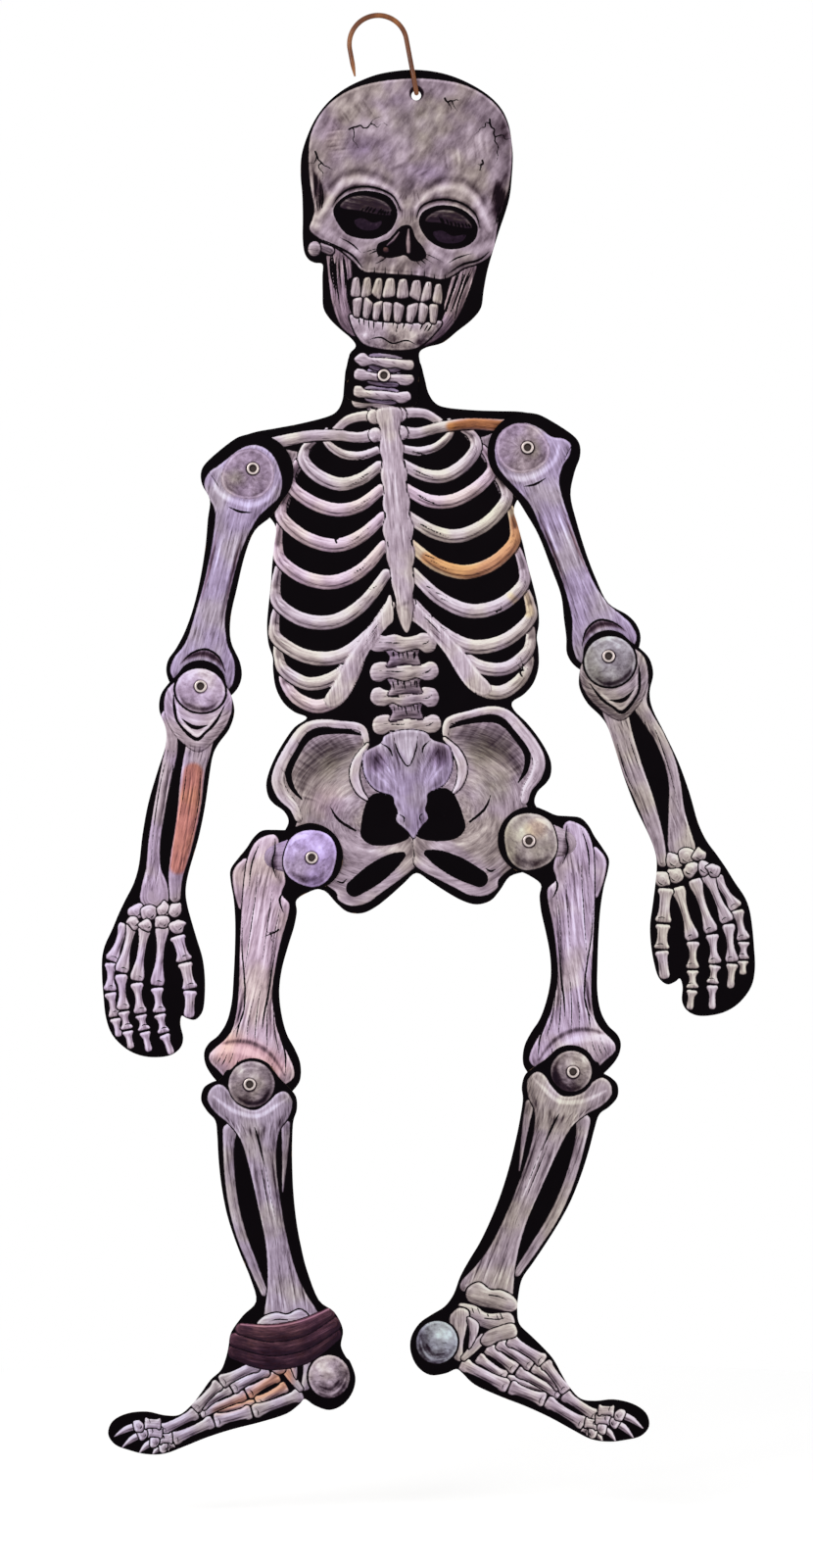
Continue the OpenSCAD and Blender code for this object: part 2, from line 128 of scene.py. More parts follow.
# The hook, in mm: wire, bend, leg, tip and tail, how far it passes through the crown; its lean in degrees
WIRE_R, HOOK_R, HOOK_LEG, HOOK_TIP, HOOK_TAIL = 1.8, 22, 42, 21, 12
HOOK_DEPTH, HOOK_PASS, HOOK_LEAN = 5.2, 1.2, 10.7
# The swelling of the wire at the bend: its share of the radius, and its middle and reach in points
BEND_SWELL, BEND_MIDDLE, BEND_REACH = 0.14, 27, 16
# The wire's free end: its share of the radius, and the growth from each point to the next
TIP_R, TIP_GROWTH = 0.35, 0.16
# Steps round the wire, over its bend, and over each half of the turn through the crown
WIRE_STEPS, BEND_STEPS, TURN_STEPS = 6, 37, 9
# The studio: camera distance and the floor's drop below the feet, in metres; even light and floor's glow
CAMERA_FAR, FLOOR_DROP, AMBIENT, FLOOR_GLOW = 4.0, 0.05, 0.55, 0.5
# The camera's sensor, in mm; the floor's radius and how far back its middle is, in metres; its sides
SENSOR_MM, FLOOR_R, FLOOR_BACK, FLOOR_SIDES = 36, 0.9, 0.2, 96
# Lamps: name, place in metres, power in watts and size in metres
LAMPS = (("key_light", (-1.7, -2.3, 0.5), 30, 1.4), ("fill_light", (1.9, -2.2, -0.4), 14, 1.6))
# The pale line that the painter left inside each bone's edge: how much lighter, and how far in, in mm
EDGE_LIGHT, EDGE_INSET = 0.2, 0.9
# How far the brush marks are stretched along and across a bone: drawn out, or dabbed in clouds
STREAKED, CLOUDED = (1.0, 1.0), (3.4, 0.42)
# Direction across the sheet that the painted light comes from
LIGHT_X, LIGHT_Y = -0.45, 0.89

Shape = namedtuple("Shape", "window depth along across")


def smooth(points, closed=False, steps=6):
    """A curve through the chosen points. Columns after x and y, such as a half-width, ride along."""
    p = np.asarray(points, float)
    count = len(p)
    span = np.arange(count if closed else count - 1)
    near = [p[(span + k) % count] if closed else p[np.clip(span + k, 0, count - 1)] for k in (-1, 0, 1, 2)]
    a, b, c, d = (q[:, None, :] for q in near)
    t = (np.arange(steps) / steps)[None, :, None]
    curve = (2 * b + (c - a) * t + (2 * a - 5 * b + 4 * c - d) * t ** 2
             + (3 * b - a - 3 * c + d) * t ** 3) / 2
    curve = curve.reshape(-1, p.shape[1])
    return curve if closed else np.vstack([curve, p[-1:]])


def turned(points, degrees, centre=(0, 0)):
    """Points turned about a centre, with any further columns kept."""
    p = np.array(points, float)
    c, s = math.cos(math.radians(degrees)), math.sin(math.radians(degrees))
    x, y = p[:, 0] - centre[0], p[:, 1] - centre[1]
    p[:, 0], p[:, 1] = centre[0] + c * x - s * y, centre[1] + s * x + c * y
    return p


def mirrored(points, axis=0.0):
    """Points reflected in the upright line x = axis."""
    p = np.array(points, float)
    p[:, 0] = 2 * axis - p[:, 0]
    return p


def moved(points, x, y):
    p = np.array(points, float)
    p[:, 0] += x
    p[:, 1] += y
    return p


def values_of(items, label, kind=float, width=1):
    """One property of all the items of a mesh, as an array."""
    values = np.empty(len(items) * width, kind)
    items.foreach_get(label, values)
    return values.reshape(-1, width) if width > 1 else values


def cut_lines(node):
    """The closed lines, in mm across and up, where a sheet's front face was cut."""
    mesh = frame["nodes"][node].data
    place = values_of(mesh.vertices, "co", width=3) / MM
    triangles = values_of(mesh.loops, "vertex_index", int).reshape(-1, 3)
    front = place[:, 1] < place[:, 1].min() + 0.01
    triangles = triangles[front[triangles].all(1)]
    spots, same = np.unique(np.round(place[:, (0, 2)], 3), axis=0, return_inverse=True)
    triangles = same.reshape(-1)[triangles]
    sides = {(t[i], t[(i + 1) % 3]) for t in triangles.tolist() for i in range(3)}
    follow = {a: b for a, b in sides if (b, a) not in sides}
    lines = []
    while follow:
        here = next(iter(follow))
        line = []
        while here in follow:
            line.append(here)
            here = follow.pop(here)
        lines.append(spots[line])
    return sorted(lines, key=len, reverse=True)


class Sheet:
    """One board's printed face: fields of paint on a square grid, in mm from its pivot, x across and y up.

    The right limbs are drawn mirrored, so that on every limb x runs towards the body.
    """

    def __init__(self, node, pivot, lean, side=LEFT, pitch=0.5, tint=PLAIN):
        self.node, self.pivot, self.lean, self.side, self.pitch = node, pivot, lean, side, pitch
        self.lines = [self.flipped(turned(line - pivot, -lean)) for line in cut_lines(node)]
        spread = np.vstack(self.lines)
        low, high = spread.min(0) - pitch, spread.max(0) + pitch
        self.xs = np.arange(low[0], high[0] + pitch, pitch)
        self.ys = np.arange(low[1], high[1] + pitch, pitch)
        size = (len(self.ys), len(self.xs))
        self.ink = np.full(size, GROUND)
        self.tone = np.full(size, 0.5)
        self.tint = np.ones(size + (3,))
        self.grain = np.zeros(size + (3,))
        self.wash = np.array(tint)

    def flipped(self, points):
        return points * (-self.side, 1)

    def figure(self, points):
        """Points of this sheet as x and z of the whole figure, in mm."""
        return turned(self.flipped(points), self.lean) + self.pivot

    def window(self, points, reach):
        low, high = points.min(0) - reach, points.max(0) + reach
        rows = slice(*np.searchsorted(self.ys, (low[1], high[1])))
        columns = slice(*np.searchsorted(self.xs, (low[0], high[0])))
        x, y = np.meshgrid(self.xs[columns], self.ys[rows])
        return (rows, columns), x, y

    def stroke(self, points):
        """A run along a smooth line of (x, y, half-width) points, with its grain along it."""
        line = smooth(points)
        window, x, y = self.window(line[:, :2], line[:, 2].max() + FORM_REACH)
        depth = np.full(x.shape, -FAR)
        along, across = np.zeros(x.shape), np.zeros(x.shape)
        gone = 0.0
        for (ax, ay, wide), (bx, by, end) in zip(line[:-1], line[1:]):
            dx, dy = bx - ax, by - ay
            length = math.hypot(dx, dy) + TINY
            part = np.clip(((x - ax) * dx + (y - ay) * dy) / length ** 2, 0, 1)
            off = np.hypot(x - ax - part * dx, y - ay - part * dy)
            inside = wide + part * (end - wide) - off
            nearer = inside > depth
            depth = np.where(nearer, inside, depth)
            along = np.where(nearer, gone + part * length, along)
            across = np.where(nearer, np.copysign(off, (x - ax) * dy - (y - ay) * dx), across)
            gone += length
        return Shape(window, depth, along, across)

    def patch(self, points, heading=90.0, swirl=None):
        """A form inside a smooth closed line, its grain straight along heading or round the swirl point."""
        ring = smooth(points, closed=True)
        window, x, y = self.window(ring, FORM_REACH)
        gap = np.full(x.shape, FAR)
        inside = np.zeros(x.shape, bool)
        for (ax, ay), (bx, by) in zip(ring, np.roll(ring, -1, 0)):
            dx, dy = bx - ax, by - ay
            part = np.clip(((x - ax) * dx + (y - ay) * dy) / (dx * dx + dy * dy + TINY), 0, 1)
            gap = np.minimum(gap, np.hypot(x - ax - part * dx, y - ay - part * dy))
            if dy:
                inside ^= ((ay > y) != (by > y)) & (x < ax + dx * (y - ay) / dy)
        return Shape(window, np.where(inside, gap, -gap), *self.flow(x, y, heading, swirl))

    def disc(self, centre, wide, high=None, turn=0.0):
        """A ball or oval, its grain along the turned axis."""
        high = high or wide
        window, x, y = self.window(np.array([centre]), max(wide, high) + FORM_REACH)
        c, s = math.cos(math.radians(turn)), math.sin(math.radians(turn))
        u, v = x - centre[0], y - centre[1]
        share = np.hypot((c * u + s * v) / wide, (c * v - s * u) / high)
        return Shape(window, (1 - share) * min(wide, high), *self.flow(x, y, turn, None))

    def flow(self, x, y, heading, swirl):
        if swirl is None:
            c, s = math.cos(math.radians(heading)), math.sin(math.radians(heading))
            return x * c + y * s, y * c - x * s
        u, v = x - swirl[0], y - swirl[1]
        far = np.hypot(u, v)
        return np.arctan2(v, u) * (far.mean() + 1), far

    def sample(self, field, spots):
        """A field's values at any spots of the sheet."""
        u = (spots[:, 0] - self.xs[0]) / self.pitch
        v = (spots[:, 1] - self.ys[0]) / self.pitch
        i = np.clip(u.astype(int), 0, len(self.xs) - 2)
        j = np.clip(v.astype(int), 0, len(self.ys) - 2)
        extra = (slice(None),) + (None,) * (field.ndim - 2)
        u, v = (u - i)[extra], (v - j)[extra]
        low = field[j, i] * (1 - u) + field[j, i + 1] * u
        high = field[j + 1, i] * (1 - u) + field[j + 1, i + 1] * u
        return low * (1 - v) + high * v

    def bone(self, shape, tone=0.62, crown=7.0, relief=0.2, rim=0.2, tint=None, gap=0.9, weave=STREAKED,
             hatch=1.0, edge=EDGE_LIGHT):
        """Paints a rounded bone over what is there, inside an ink line gap mm wide.

        Its edge rounds off over crown mm, with light and shade by relief, and darkens by rim.
        """
        at, depth = shape.window, shape.depth
        up, right = np.gradient(depth, self.pitch)
        slope = np.clip(1 - depth / crown, 0, 1)
        lit = -(right * LIGHT_X + up * LIGHT_Y) * slope
        painted = tone + relief * lit - rim * slope ** 2
        painted += edge * np.exp(-((depth - EDGE_INSET) / EDGE_INSET) ** 2)
        covered = depth > -self.pitch
        self.ink[at] = np.where(depth > 0, -depth,
                                np.minimum(np.maximum(self.ink[at], gap + depth), -depth))
        self.tone[at] = np.where(covered, painted, self.tone[at])
        wash = self.wash if tint is None else np.array(tint)
        self.tint[at] = np.where(covered[..., None], wash, self.tint[at])
        grain = np.stack([shape.along * weave[0], shape.across * weave[1], np.full(depth.shape, hatch)], -1)
        self.grain[at] = np.where(covered[..., None], grain, self.grain[at])

    def shade(self, shape, amount, soft=3.0):
        """Lightens or darkens what is painted, fading in over soft mm from the form's edge."""
        self.tone[shape.window] += amount * np.clip(shape.depth / soft, 0, 1)

    def glaze(self, shape, tint, amount, soft):
        """Washes a tint over what is painted, fading in over soft mm from the form's edge."""
        weight = (amount * np.clip(shape.depth / soft, 0, 1))[..., None]
        self.tint[shape.window] = self.tint[shape.window] * (1 - weight) + np.array(tint) * weight

    def rod(self, points, *look, **more):
        """A bone along a line of (x, y, half-width) points."""
        self.bone(self.stroke(points), *look, **more)

    def plate(self, points, *look, heading=90.0, swirl=None, **more):
        """A bone inside a closed line."""
        self.bone(self.patch(points, heading, swirl), *look, **more)

    def wipe(self, points, amount, soft=3.0):
        """A paler or darker run along a line of (x, y, half-width) points."""
        self.shade(self.stroke(points), amount, soft)

    def hole(self, shape):
        """Inks a form in solid black."""
        self.ink[shape.window] = np.maximum(self.ink[shape.window], shape.depth)

    def lines_of_ink(self, *runs):
        for run in runs:
            self.hole(self.stroke(run))

    def dashes(self, rail, reach, count, seed, half=0.5, amount=None, fan=None):
        """A row of tapered strokes from a rail, by reach at its start and fan at its end.

        They are ink, or change the tone by amount.
        """
        draw = np.random.default_rng(seed)
        rail = smooth(rail)
        share = (np.arange(count) + draw.uniform(0.2, 0.8, count)) / count
        knots = np.linspace(0, 1, len(rail))
        first, last = np.array(reach, float), np.array(reach if fan is None else fan, float)
        for part in share:
            x, y = np.interp(part, knots, rail[:, 0]), np.interp(part, knots, rail[:, 1])
            dx, dy = (first + (last - first) * part) * draw.uniform(*MARK_LENGTH)
            sway = draw.uniform(*MARK_SWAY)
            wide = half * draw.uniform(*MARK_WIDTH)
            run = [(x, y, 0.1), (x + dx * 0.3 - dy * sway, y + dy * 0.3 + dx * sway, wide),
                   (x + dx * 0.65 - dy * sway, y + dy * 0.65 + dx * sway, wide * 0.8),
                   (x + dx, y + dy, 0.1)]
            if amount is None:
                self.lines_of_ink(run)
            else:
                self.wipe(run, amount, wide)

    def dabs(self, centre, spread, size, count, seed, amount=0.1):
        """Soft dabs of the brush, lighter and darker, scattered about a centre."""
        draw = np.random.default_rng(seed)
        for _ in range(count):
            x = centre[0] + spread[0] * draw.uniform(-1, 1)
            y = centre[1] + spread[1] * draw.uniform(-1, 1)
            big = size * draw.uniform(*DAB_SIZE)
            oval = self.disc((x, y), big, big * draw.uniform(*DAB_FLAT), draw.uniform(0, 180))
            self.shade(oval, amount * draw.uniform(-1, 1), big * DAB_SOFT)

    def crack(self, start, heading, length, seed, branches=2, half=0.8):
        """A jagged crack that thins out, with a few side cracks."""
        draw = np.random.default_rng(seed)
        steps = max(4, int(length / CRACK_STEP))
        turn = np.radians(heading + draw.uniform(-CRACK_TURN, CRACK_TURN, steps))
        run = np.cumsum(np.stack([np.cos(turn), np.sin(turn)], 1) * length / steps, 0) + start
        run = np.vstack([[start], run])
        widths = np.linspace(half, 0.15, steps + 1)[:, None]
        self.lines_of_ink(np.hstack([run, widths]))
        for k in range(branches):
            root = run[1 + (k * steps) // (branches + 1)]
            self.crack(root, heading + (55 if k % 2 else -60),
                       length * 0.5, seed + 7 * k + 1, 0, half * 0.7)


# Upper arms: half the shaft's width, each shaft's offset towards the body, each head's place and outline
ARM_SHAFT = 11.4
ARM_BOW = {LEFT: -5.5, RIGHT: 1.5}
ARM_HEAD_SHIFT = {LEFT: (-2, -2), RIGHT: (4.5, 4)}
ARM_HEAD_INNER = {
    LEFT: [(-4, 17.5), (6, 17), (14, 12), (20, 4), (24, -4), (25, -12), (23.5, -19), (16.5, -29),
           (11, -40)],
    RIGHT: [(3, 20), (12, 19.5), (19.5, 14.5), (24.5, 6), (26.5, -4), (24.5, -14), (20, -25), (16, -35),
            (13.5, -45)]}
ARM_HEAD_OUTER = {
    LEFT: [(-19, -44), (-22, -36), (-29, -28), (-33.5, -20), (-32, -11), (-26, -4), (-20.5, 3), (-13, 12)],
    RIGHT: [(-11, -44), (-13.5, -32), (-20, -23), (-28, -17), (-31.5, -10), (-28, -4), (-20, 1), (-14, 10),
            (-6, 17.5)]}


def draw_upper_arm(sheet):
    """Round head with its eyelet, an outer knob, a plain shaft and a hollow above the elbow."""
    shaft, bow = ARM_SHAFT, ARM_BOW[sheet.side]
    shift_x, shift_y = ARM_HEAD_SHIFT[sheet.side]

    def on_head(*spots):
        return [(x + shift_x, y + shift_y, *width) for x, y, *width in spots]

    inner = [(shaft + bow, -64), (shaft + bow - 1, -92), (shaft + bow, -116), (15 + bow / 2, -135),
             (20, -146), (23, -156), (22, -168), (8, -178)]
    outer = [(-8, -178), (-24, -168), (-25, -156), (-20, -145), (-15 + bow / 2, -134), (-shaft + bow, -116),
             (-shaft + bow + 1, -92), (-shaft + bow, -64)]
    sheet.plate(ARM_HEAD_INNER[sheet.side] + inner + outer + ARM_HEAD_OUTER[sheet.side], 0.66, 7, 0.18)
    sheet.dashes([(-8 + bow, -46), (9 + bow, -46)], (0, -80), 7, 11, 1.1, 0.16)
    sheet.dashes([(-9 + bow, -40), (9 + bow, -40)], (0, -74), 6, 12, 0.8, -0.18)
    sheet.dashes([(-17, -146), (17, -146)], (7, 44), 7, 13, 0.9, -0.2, fan=(-6, 44))
    for edge in (LEFT, RIGHT):
        side_plane = sheet.stroke([(edge * 9.6 + bow, -52, 0.4), (edge * 9 + bow, -80, 1.4),
                                   (edge * 9.6 + bow, -112, 0.4)])
        sheet.shade(side_plane, -0.2, 1)
        sheet.glaze(side_plane, PLUM, 0.7, 1)
    sheet.dashes([(-15, -146), (15, -146)], (6, 56), 6, 14, 1.0, 0.16, fan=(-5, 56))
    sheet.wipe([(shaft + bow - 2.4, -50, 0.6), (shaft + bow - 3.2, -80, 2), (shaft + bow - 3.2, -104, 2),
                (shaft + bow - 1, -128, 0.6)], -0.14, 2)
    sheet.plate(on_head((0, 16.5), (11, 13), (18, 4), (18.5, -8), (11, -18.5), (-2, -22), (-15, -18.5),
                        (-20, -9), (-17, 5), (-10, 13)),
                0.57, 14, 0.04, 0.03, tint=MAUVE, gap=0, weave=CLOUDED, hatch=0.3,
                swirl=(1 + shift_x, -2 + shift_y))
    sheet.shade(sheet.disc(on_head((6, 6))[0], 9, 6, 30), 0.1, 5)
    sheet.shade(sheet.disc(on_head((-7, -8))[0], 11, 8, -20), -0.06, 6)
    sheet.glaze(sheet.disc(on_head((-8, -7))[0], 10, 8, -20), OLIVE, 0.8, 6)
    sheet.dabs(on_head((0, -2))[0], (13, 12), 5, 16, 10, 0.07)
    sheet.wipe(on_head((-18, -10, 0.8), (-9, -18.5, 2), (5, -19.5, 2), (16, -10, 0.8)), -0.13, 2)
    sheet.wipe(on_head((-27, -12, 1.6), (-20, -21, 2.6), (-8, -25.5, 3), (7, -25.5, 3), (18, -18, 2.6),
                       (21.5, -8, 1.6)), 0.22, 2)
    sheet.lines_of_ink(on_head((-9, -31, 0.2), (0, -32.5, 1.0), (9, -31, 0.2)),
                       [(-32, -11, 0.1), (-27, -15, 0.35), (-22, -20, 0.1)])
    hollow = sheet.patch([(-20, -160), (-15, -149), (-3, -143), (9, -146), (17, -157), (8, -152),
                          (-3, -150), (-13, -154)])
    sheet.shade(hollow, -0.5, 3)
    sheet.glaze(hollow, PLUM, 0.7, 3)
    sheet.lines_of_ink([(-19, -158, 0.2), (-12, -148, 0.8), (-2, -143, 0.9), (9, -147, 0.8),
                        (16, -157, 0.2)])
    sheet.wipe([(-18, -165, 1.5), (-8, -155, 2), (4, -154, 2), (14, -162, 1.5)], 0.2, 2)


# A small bone's half-widths by share of its length: its flared start, its waist, and either kind of end
BONE_START = ((0.01, 0.7), (0.05, 1), (0.12, 1.04), (0.2, 0.84))
BONE_WAIST = ((0.36, 1), (0.62, 1))
BONE_TIP = ((0.8, 1.1), (0.92, 1), (0.985, 0.5))
BONE_HEAD = ((0.8, 0.88), (0.9, 1.08), (0.96, 1), (0.99, 0.7))
# The shaded and the pale run along it: half-widths by share of its length
BONE_DARK = ((0.14, 0.3), (0.4, 0.8), (0.66, 0.8), (0.86, 0.3))
BONE_PALE = ((0.1, 0.3), (0.4, 0.7), (0.7, 0.7), (0.92, 0.3))


def small_bone(sheet, start, end, flare, waist, tip=False, tone=0.72, tint=None):
    """One bone of a finger or toe, flared at the ends or round at its tip, with a shaded side."""
    start, end = np.array(start, float), np.array(end, float)
    dx, dy = end - start
    length = math.hypot(dx, dy)
    along = (end - start) / length
    out = np.array((-along[1], along[0]))
    half = [(t, flare * w) for t, w in BONE_START] + [(t, waist * w) for t, w in BONE_WAIST]
    half += [(t, waist * w) for t, w in BONE_TIP] if tip else [(t, flare * w) for t, w in BONE_HEAD]
    ring = [start + along * length * t + out * w for t, w in half]
    ring += [start + along * length * t - out * w for t, w in half[::-1]]
    sheet.plate(ring, tone, 3.4, 0.3, 0.14, tint, gap=1.0, heading=math.degrees(math.atan2(dy, dx)))
    side = out * (1 if along[1] < 0 else -1)
    sheet.wipe([(*(start + (end - start) * t + side * waist * 0.62), w) for t, w in BONE_DARK], -0.36, 0.8)
    sheet.wipe([(*(start + (end - start) * t - side * waist * 0.3), w) for t, w in BONE_PALE], 0.2, 0.7)
    if not tip:
        head = end - along * min(3.2, 0.2 * length + 1)
        sheet.lines_of_ink([(*(head + side * flare * 0.75), 0.2),
                            (*(head - along * 0.8 + side * flare * 0.2), 0.4),
                            (*(head - side * flare * 0.35), 0.1)])


def digit(sheet, joints, flare, waist, space=0.75):
    """A finger: one small bone between each pair of joints, the last with a round tip."""
    bones = list(zip(joints[:-1], joints[1:]))
    for k, (start, end) in enumerate(bones):
        start, end = np.array(start, float), np.array(end, float)
        step = (end - start) / np.linalg.norm(end - start)
        slim = 1 - 0.06 * k
        small_bone(sheet, start + step * space, end - step * space, flare * slim, waist * slim,
                   k == len(bones) - 1)


def pebble(sheet, x, y, wide, high, seed, tint=None):
    """A small rounded bone of the wrist or ankle, none quite round."""
    draw = np.random.default_rng(seed)
    turns = np.radians(np.arange(0, 360, 45) + draw.uniform(-14, 14, 8))
    reach = draw.uniform(0.78, 1.28, 8)
    ring = np.stack([x + wide * reach * np.cos(turns), y + high * reach * np.sin(turns)], 1)
    sheet.plate(ring, 0.72, 4.5, 0.32, 0.16, tint, gap=1.0, swirl=(x, y))
    sheet.shade(sheet.disc((x - wide * 0.25, y + high * 0.25), wide * 0.5, high * 0.4, 20), 0.14, 1.5)
    sheet.lines_of_ink([(x + wide * 0.1, y - high * 0.75, 0.1), (x + wide * 0.5, y - high * 0.35, 0.5),
                        (x + wide * 0.6, y, 0.1)])


# Joints of each thumb and finger, from the wrist out, and the wrist's bones as place, half-width and
# half-height
HANDS = {
    LEFT: (
        [(21, -190), (31, -209), (39.4, -229), (43, -251)],
        [(8.5, -187), (14, -232), (20, -251.5), (26.6, -266), (36, -281)],
        [(-4.3, -188), (-2.1, -231.5), (6, -255), (11.5, -267), (18.5, -282.5)],
        [(-14, -186), (-15, -227.5), (-7.5, -255), (-1.5, -269), (4.6, -283)],
        [(-19, -192), (-24.2, -220.5), (-20.5, -243), (-12.6, -261.5), (-6.4, -276)]),
    RIGHT: (
        [(22, -181), (34, -206), (42.4, -224.5), (48, -247)],
        [(13.5, -186), (17.3, -226.5), (25.5, -247), (31, -261), (39, -275.5)],
        [(-0.5, -185), (1.8, -226.5), (8, -249.5), (15.5, -263), (22.5, -281.5)],
        [(-11, -184), (-12.7, -223.5), (-4.7, -253), (4, -271.5)],
        [(-16, -189), (-22.8, -216), (-19, -240.5), (-13.2, -254), (-8.8, -265)])}
WRISTS = {
    LEFT: ((-13, -178, 6.4, 5.6), (-3.3, -178, 6.2, 5.6), (7, -173, 5.8, 5.6), (15.5, -172, 5, 5.6),
           (-13.5, -187.5, 5, 4.6), (-3.5, -187, 5, 4.6), (7.5, -183, 6, 4.6), (20, -183, 5.6, 5)),
    RIGHT: ((9, -164, 6.2, 6.4), (-1, -164.5, 6.4, 6), (-11, -167, 5.4, 5), (12, -175.5, 6.4, 5.8),
            (-0.5, -175, 7, 5), (-10.6, -177, 5.4, 6), (22.5, -174.5, 6, 6), (-16.5, -181, 4.6, 5))}


def draw_hand(sheet):
    thumb, *fingers = HANDS[sheet.side]
    for (x, y), *joints in fingers[::-1]:
        digit(sheet, [(x, y + 3), *joints], 4.8, 2.8)
    digit(sheet, thumb, 5.6, 4.0)
    for k, (x, y, wide, high) in enumerate(WRISTS[sheet.side]):
        pebble(sheet, x, y, wide, high, 60 + k)


# Each elbow: the height of its ball's middle, the ball's half-width and half-height, and the tone
ELBOWS = {LEFT: (-3.2, 19.0, 16.6, 0.74), RIGHT: (-4.2, 19.6, 19.2, 0.6)}
# Each forearm's outer and inner bone
FOREARM_BONES = {
    LEFT: (
        [(-19, -28, 6), (-15, -40, 4.8), (-12.2, -52, 4.8), (-12, -64, 4.8), (-12.1, -80, 4.4),
         (-11.7, -100, 4.4), (-10.4, -124, 4.4), (-7, -144, 5.6), (-3.4, -157, 9.6), (-2, -165, 11)],
        [(8.3, -38, 10), (8, -52, 9.6), (7.6, -62, 9), (8.5, -74, 9), (10, -88, 8.8), (11, -108, 8),
         (10.9, -130, 7), (10.8, -146, 5.4), (13.6, -162, 4)]),
    RIGHT: (
        [(-15, -28, 6.5), (-9.5, -42, 5.4), (-10.6, -53, 4.8), (-14, -71, 4.3), (-15, -91, 4.2),
         (-12.5, -109, 4.4), (-6.4, -129, 6), (-1.5, -149, 9.2), (0, -157, 10.4)],
        [(10, -38, 9.6), (11.5, -52, 8.8), (12.7, -64, 8.3), (13.9, -89, 7.9), (13.5, -113, 6.8),
         (15, -142, 5.2), (18, -162, 3.6)])}
ELBOW_CUP = [
    (-20, -1), (-25, -11), (-22.5, -26), (-14, -38), (-4, -45.5), (8.5, -49.5), (17.5, -40.5), (25, -26),
    (27, -12), (23, 0), (10, 8), (-10, 8)]


def draw_forearm(sheet, ball_tint):
    """Round top with its eyelet in a cupped end, two long bones with a gap, the wrist and the hand."""
    for shaft, seed in zip(FOREARM_BONES[sheet.side], (3, 4)):
        sheet.rod(shaft, 0.66, 6, 0.3, 0.16)
        top, low = shaft[2], shaft[-3]
        across = [(top[0] - top[2] * 0.7, top[1]), (top[0] + top[2] * 0.7, top[1])]
        down = (low[0] - top[0], low[1] - top[1])
        sheet.dashes(across, down, 4, seed, 0.9, 0.2)
        sheet.dashes(across, down, 4, seed + 20, 0.8, -0.26)
        sheet.dashes(across, down, 2, seed + 30, 0.4)
        foot = [(low[0] - low[2] * 0.7, low[1] - 16), (low[0] + low[2] * 0.7, low[1] - 16)]
        sheet.dashes(foot, (0, 30), 4, seed + 40, 0.7, -0.28)
        sheet.dashes(foot, (0, 30), 4, seed + 50, 0.8, 0.2)
    middle, wide, high, tone = ELBOWS[sheet.side]
    sheet.plate(ELBOW_CUP, tone, 8, 0.24, gap=0.3, swirl=(1, 2))
    low = middle - high
    lip = [(-19, 9, 0.3), (-16, -1, 1.2), (-10.5, -11.5, 1.0), (4.5, -20.5, 1.5), (11, -14, 1.0),
           (17, -4.5, 1.2), (21, 9, 0.3)]
    sheet.lines_of_ink(moved(lip, 0, low), moved([(-9, -7.5, 0.2), (2, -12, 1.7), (12, -8, 0.2)], 0, low))
    sheet.wipe(moved([(x * 0.92, y + 3.2, 1.4) for x, y, _ in lip[1:-1]], 0, low), 0.2, 1.2)
    sheet.dashes(moved([(-8, -22), (14, -24)], 0, low), (4, -26), 6, 29, 0.8, -0.26, fan=(-2, -26))
    sheet.bone(sheet.disc((0.5, middle), wide, high),
               tone, 12, 0.22, 0.14, tint=ball_tint, gap=1.6, weave=CLOUDED, hatch=0.4)
    sheet.dabs((0.5, middle), (13, 12), 5, 14, 10, 0.14)
    sheet.shade(sheet.disc((4, middle + 7), 9, 5, 30), 0.12, 4)
    sheet.wipe(moved([(-14, 10, 1), (-9, 4.5, 2.2), (2, 2.4, 2.6), (11, 5, 2), (15, 11, 0.8)], 0, low),
               -0.28, 1.8)
    sheet.wipe([(-11, middle + 9, 0.6), (-3, middle + high - 2.5, 1.3), (8, middle + high - 4, 0.6)],
               0.2, 1)
    draw_hand(sheet)


# The thigh bone, from the top knob down its inner side and up its outer side
THIGH_BONE = [
    (-34, 9), (-28, 6), (-26, -4), (-18, -16), (-14.5, -24), (-15, -33), (-8, -38), (-6, -44), (-5.8, -54),
    (-6, -66), (-5.5, -78), (-4.5, -90), (-3.3, -101), (-0.5, -113), (3.5, -122), (8, -132), (15, -142),
    (22.5, -150.5), (29, -159), (31, -166), (26, -173), (12, -183), (-8, -186), (-26, -176), (-34, -171),
    (-35.5, -165.5), (-32, -159), (-27, -151.5), (-23.8, -142), (-24.3, -128), (-27, -113), (-30.4, -98.5),
    (-34, -84), (-37.5, -69), (-40.5, -55), (-43, -42), (-45.5, -28), (-47, -13), (-44, 1)]


